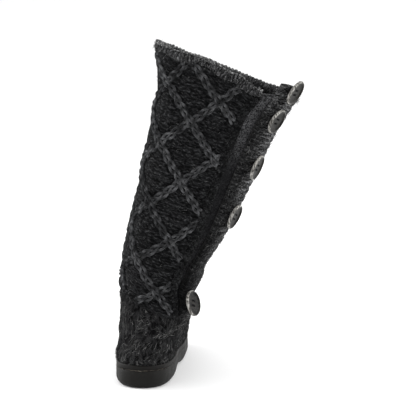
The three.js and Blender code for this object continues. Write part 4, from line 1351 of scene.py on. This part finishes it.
# radius, height
BUTTON_PROFILE = [
    (0, 0), (9, 0), (12.8, 0.15), (14.0, 0.8), (14.5, 2.0), (14.3, 3.0), (13.7, 3.75),
    (12.9, 4.0), (12.1, 3.85), (11.5, 3.3), (10.9, 2.75), (9.5, 2.5), (6.0, 2.35), (0, 2.3),
]
HOLE = 2.6
HOLE_PLACES = [(HOLE, HOLE), (-HOLE, HOLE), (-HOLE, -HOLE), (HOLE, -HOLE)]
HOLE_PROFILE = np.array([(0, 0), (1.15, 0), (1.25, 0.12), (0.95, 0.22), (0.8, -0.1), (0, -0.2)])
DISH_HEIGHT = 2.34
THREAD_RADIUS = 0.42
SHANK_RADIUS = 2.2
SHANK_THREAD = 1.0
SHANK_COILS = 4
SHANK_SUNK = 0.3


def button_frame(node):
    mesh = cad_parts[node].data
    points = np.empty(len(mesh.vertices) * 3)
    mesh.vertices.foreach_get("co", points)
    points = points.reshape(-1, 3) / MM
    centre = points.mean(axis=0)
    axis = np.linalg.svd(points - centre)[2][2]
    radial = points - centre - np.outer((points - centre) @ axis, axis)
    rim = np.linalg.norm(radial, axis=1) > BUTTON_RADIUS - 2.5
    centre = points[rim].mean(axis=0)
    if axis[0] > 0:
        axis = -axis
    reach = (points - centre) @ axis
    return centre, axis, reach.max(), -reach.min()


def button(index):
    centre, axis, ahead, behind = button_frame(f"button_{index}")
    up = unit(np.cross(np.array([0.2, 1, 0.1 * index]), axis))
    side = np.cross(axis, up)
    base = centre + axis * (ahead - BUTTON_THICKNESS)

    def local(x, y, z):
        return base + np.multiply.outer(x, up) + np.multiply.outer(y, side) + np.multiply.outer(z, axis)

    angle = np.linspace(0, 2 * math.pi, 49)
    radius, height = (np.array(column) for column in zip(*BUTTON_PROFILE))
    wave = 1 + 0.012 * np.sin(3 * angle + index)[None, :]
    points = local(
        radius[:, None] * np.cos(angle) * wave,
        radius[:, None] * np.sin(angle) * wave,
        height[:, None] + 0 * angle,
    )
    points[:, -1] = points[:, 0]
    patches = Patches()
    patches.grid(points, uv_grid(radius[:, None], angle[None, :]))
    share = np.linspace(0, 1, 9)
    around = angle[::4]
    ring, depth = HOLE_PROFILE[:, :1], HOLE_PROFILE[:, 1:]
    # painted shade: the shallow pits take the dark thread colour to stand in for the holes' depth
    for x, y in HOLE_PLACES:
        pit = local(x + ring * np.cos(around), y + ring * np.sin(around), DISH_HEIGHT + depth + 0 * around)
        pit[:, -1] = pit[:, 0]
        patches.grid(pit, np.zeros((*pit.shape[:2], 2)), 1)
    for x in (HOLE, -HOLE):
        for shift in (-0.45, 0.45):
            bow = local(x + shift + 0 * share, 2 * HOLE * (share - 0.5), 2.3 + 1.1 * np.sin(math.pi * share))
            patches.tube(bow, THREAD_RADIUS, axis, 6, 1)
    turns = np.linspace(0, 1, 40)
    wound = 2 * math.pi * SHANK_COILS * turns
    fall = turns * (behind + ahead - BUTTON_THICKNESS + 2 * SHANK_SUNK)
    coil = local(SHANK_RADIUS * np.cos(wound), SHANK_RADIUS * np.sin(wound), SHANK_SUNK - fall)
    patches.tube(coil, SHANK_THREAD, axis, 6, 1)
    return patches.piece(f"button_disc_{index}", "button_horn", [horn, dark_thread], [f"button_{index}"])


shaft_knit()
trellis_cables()
edge_cable()
hem_edge()
collar_roll()
button_band()
gusset()
foot_knit()
outsole()
foxing()
for number in range(1, 6):
    button(number)
foot_hairs()
shaft_fluff()
rib_fluff()
frayed_edge()

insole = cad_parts["insole"]
for entry in insole.material_slots:
    entry.material = lining


# Floor, light and camera
def floor():
    mesh = bmesh.new()
    bmesh.ops.create_grid(mesh, x_segments=1, y_segments=1, size=30)
    piece = placed("floor", mesh_data("floor", mesh))
    shader = Shader("floor_paper")
    white = shader.colours(shader.noise(3, 2), (0.93, 0.93, 0.93), (0.96, 0.96, 0.96))
    piece.data.materials.append(shader.done(white, None, 0.9, 0.0))


def area_light(name, place, aim, size, power, shadow=True):
    data = bpy.data.lights.new(name, "AREA")
    data.shape, data.size, data.energy = "DISK", size, power
    data.use_shadow = shadow
    lamp = placed(name, data)
    lamp.location = place
    lamp.rotation_euler = (Vector(aim) - Vector(place)).to_track_quat("-Z", "Y").to_euler()


floor()
area_light("key", (0.9, 2.6, 2.8), (-0.06, 0, 0.2), 3.2, 20, False)
area_light("left_rim", (1.8, -0.7, 0.9), (-0.06, 0, 0.25), 1.4, 44)
area_light("right_rim", (-2.0, -0.5, 0.9), (-0.06, 0, 0.25), 1.4, 36)
world = bpy.data.worlds.new("studio")
world.use_nodes = True
background = world.node_tree.nodes["Background"]
background.inputs["Color"].default_value = (1, 1, 1, 1)
background.inputs["Strength"].default_value = 1.0
bpy.context.scene.world = world
bpy.context.scene.view_settings.view_transform = "Standard"

AIM = Vector((-0.0693, -0.01, 0.1956))
AZIMUTH, ELEVATION = math.radians(184.3), math.radians(10)
DISTANCE = 4.5
FRAME_WIDTH = 0.4576
SENSOR_WIDTH = 36
camera_data = bpy.data.cameras.new("camera")
camera_data.sensor_width = SENSOR_WIDTH
camera_data.lens = SENSOR_WIDTH * DISTANCE / FRAME_WIDTH
camera_data.clip_end = 60
camera = placed("camera", camera_data)
level_share = math.cos(ELEVATION)
back = Vector((math.sin(AZIMUTH) * level_share, -math.cos(AZIMUTH) * level_share, math.sin(ELEVATION)))
camera.location = AIM + back * DISTANCE
camera.rotation_euler = back.to_track_quat("Z", "Y").to_euler()
bpy.context.scene.camera = camera
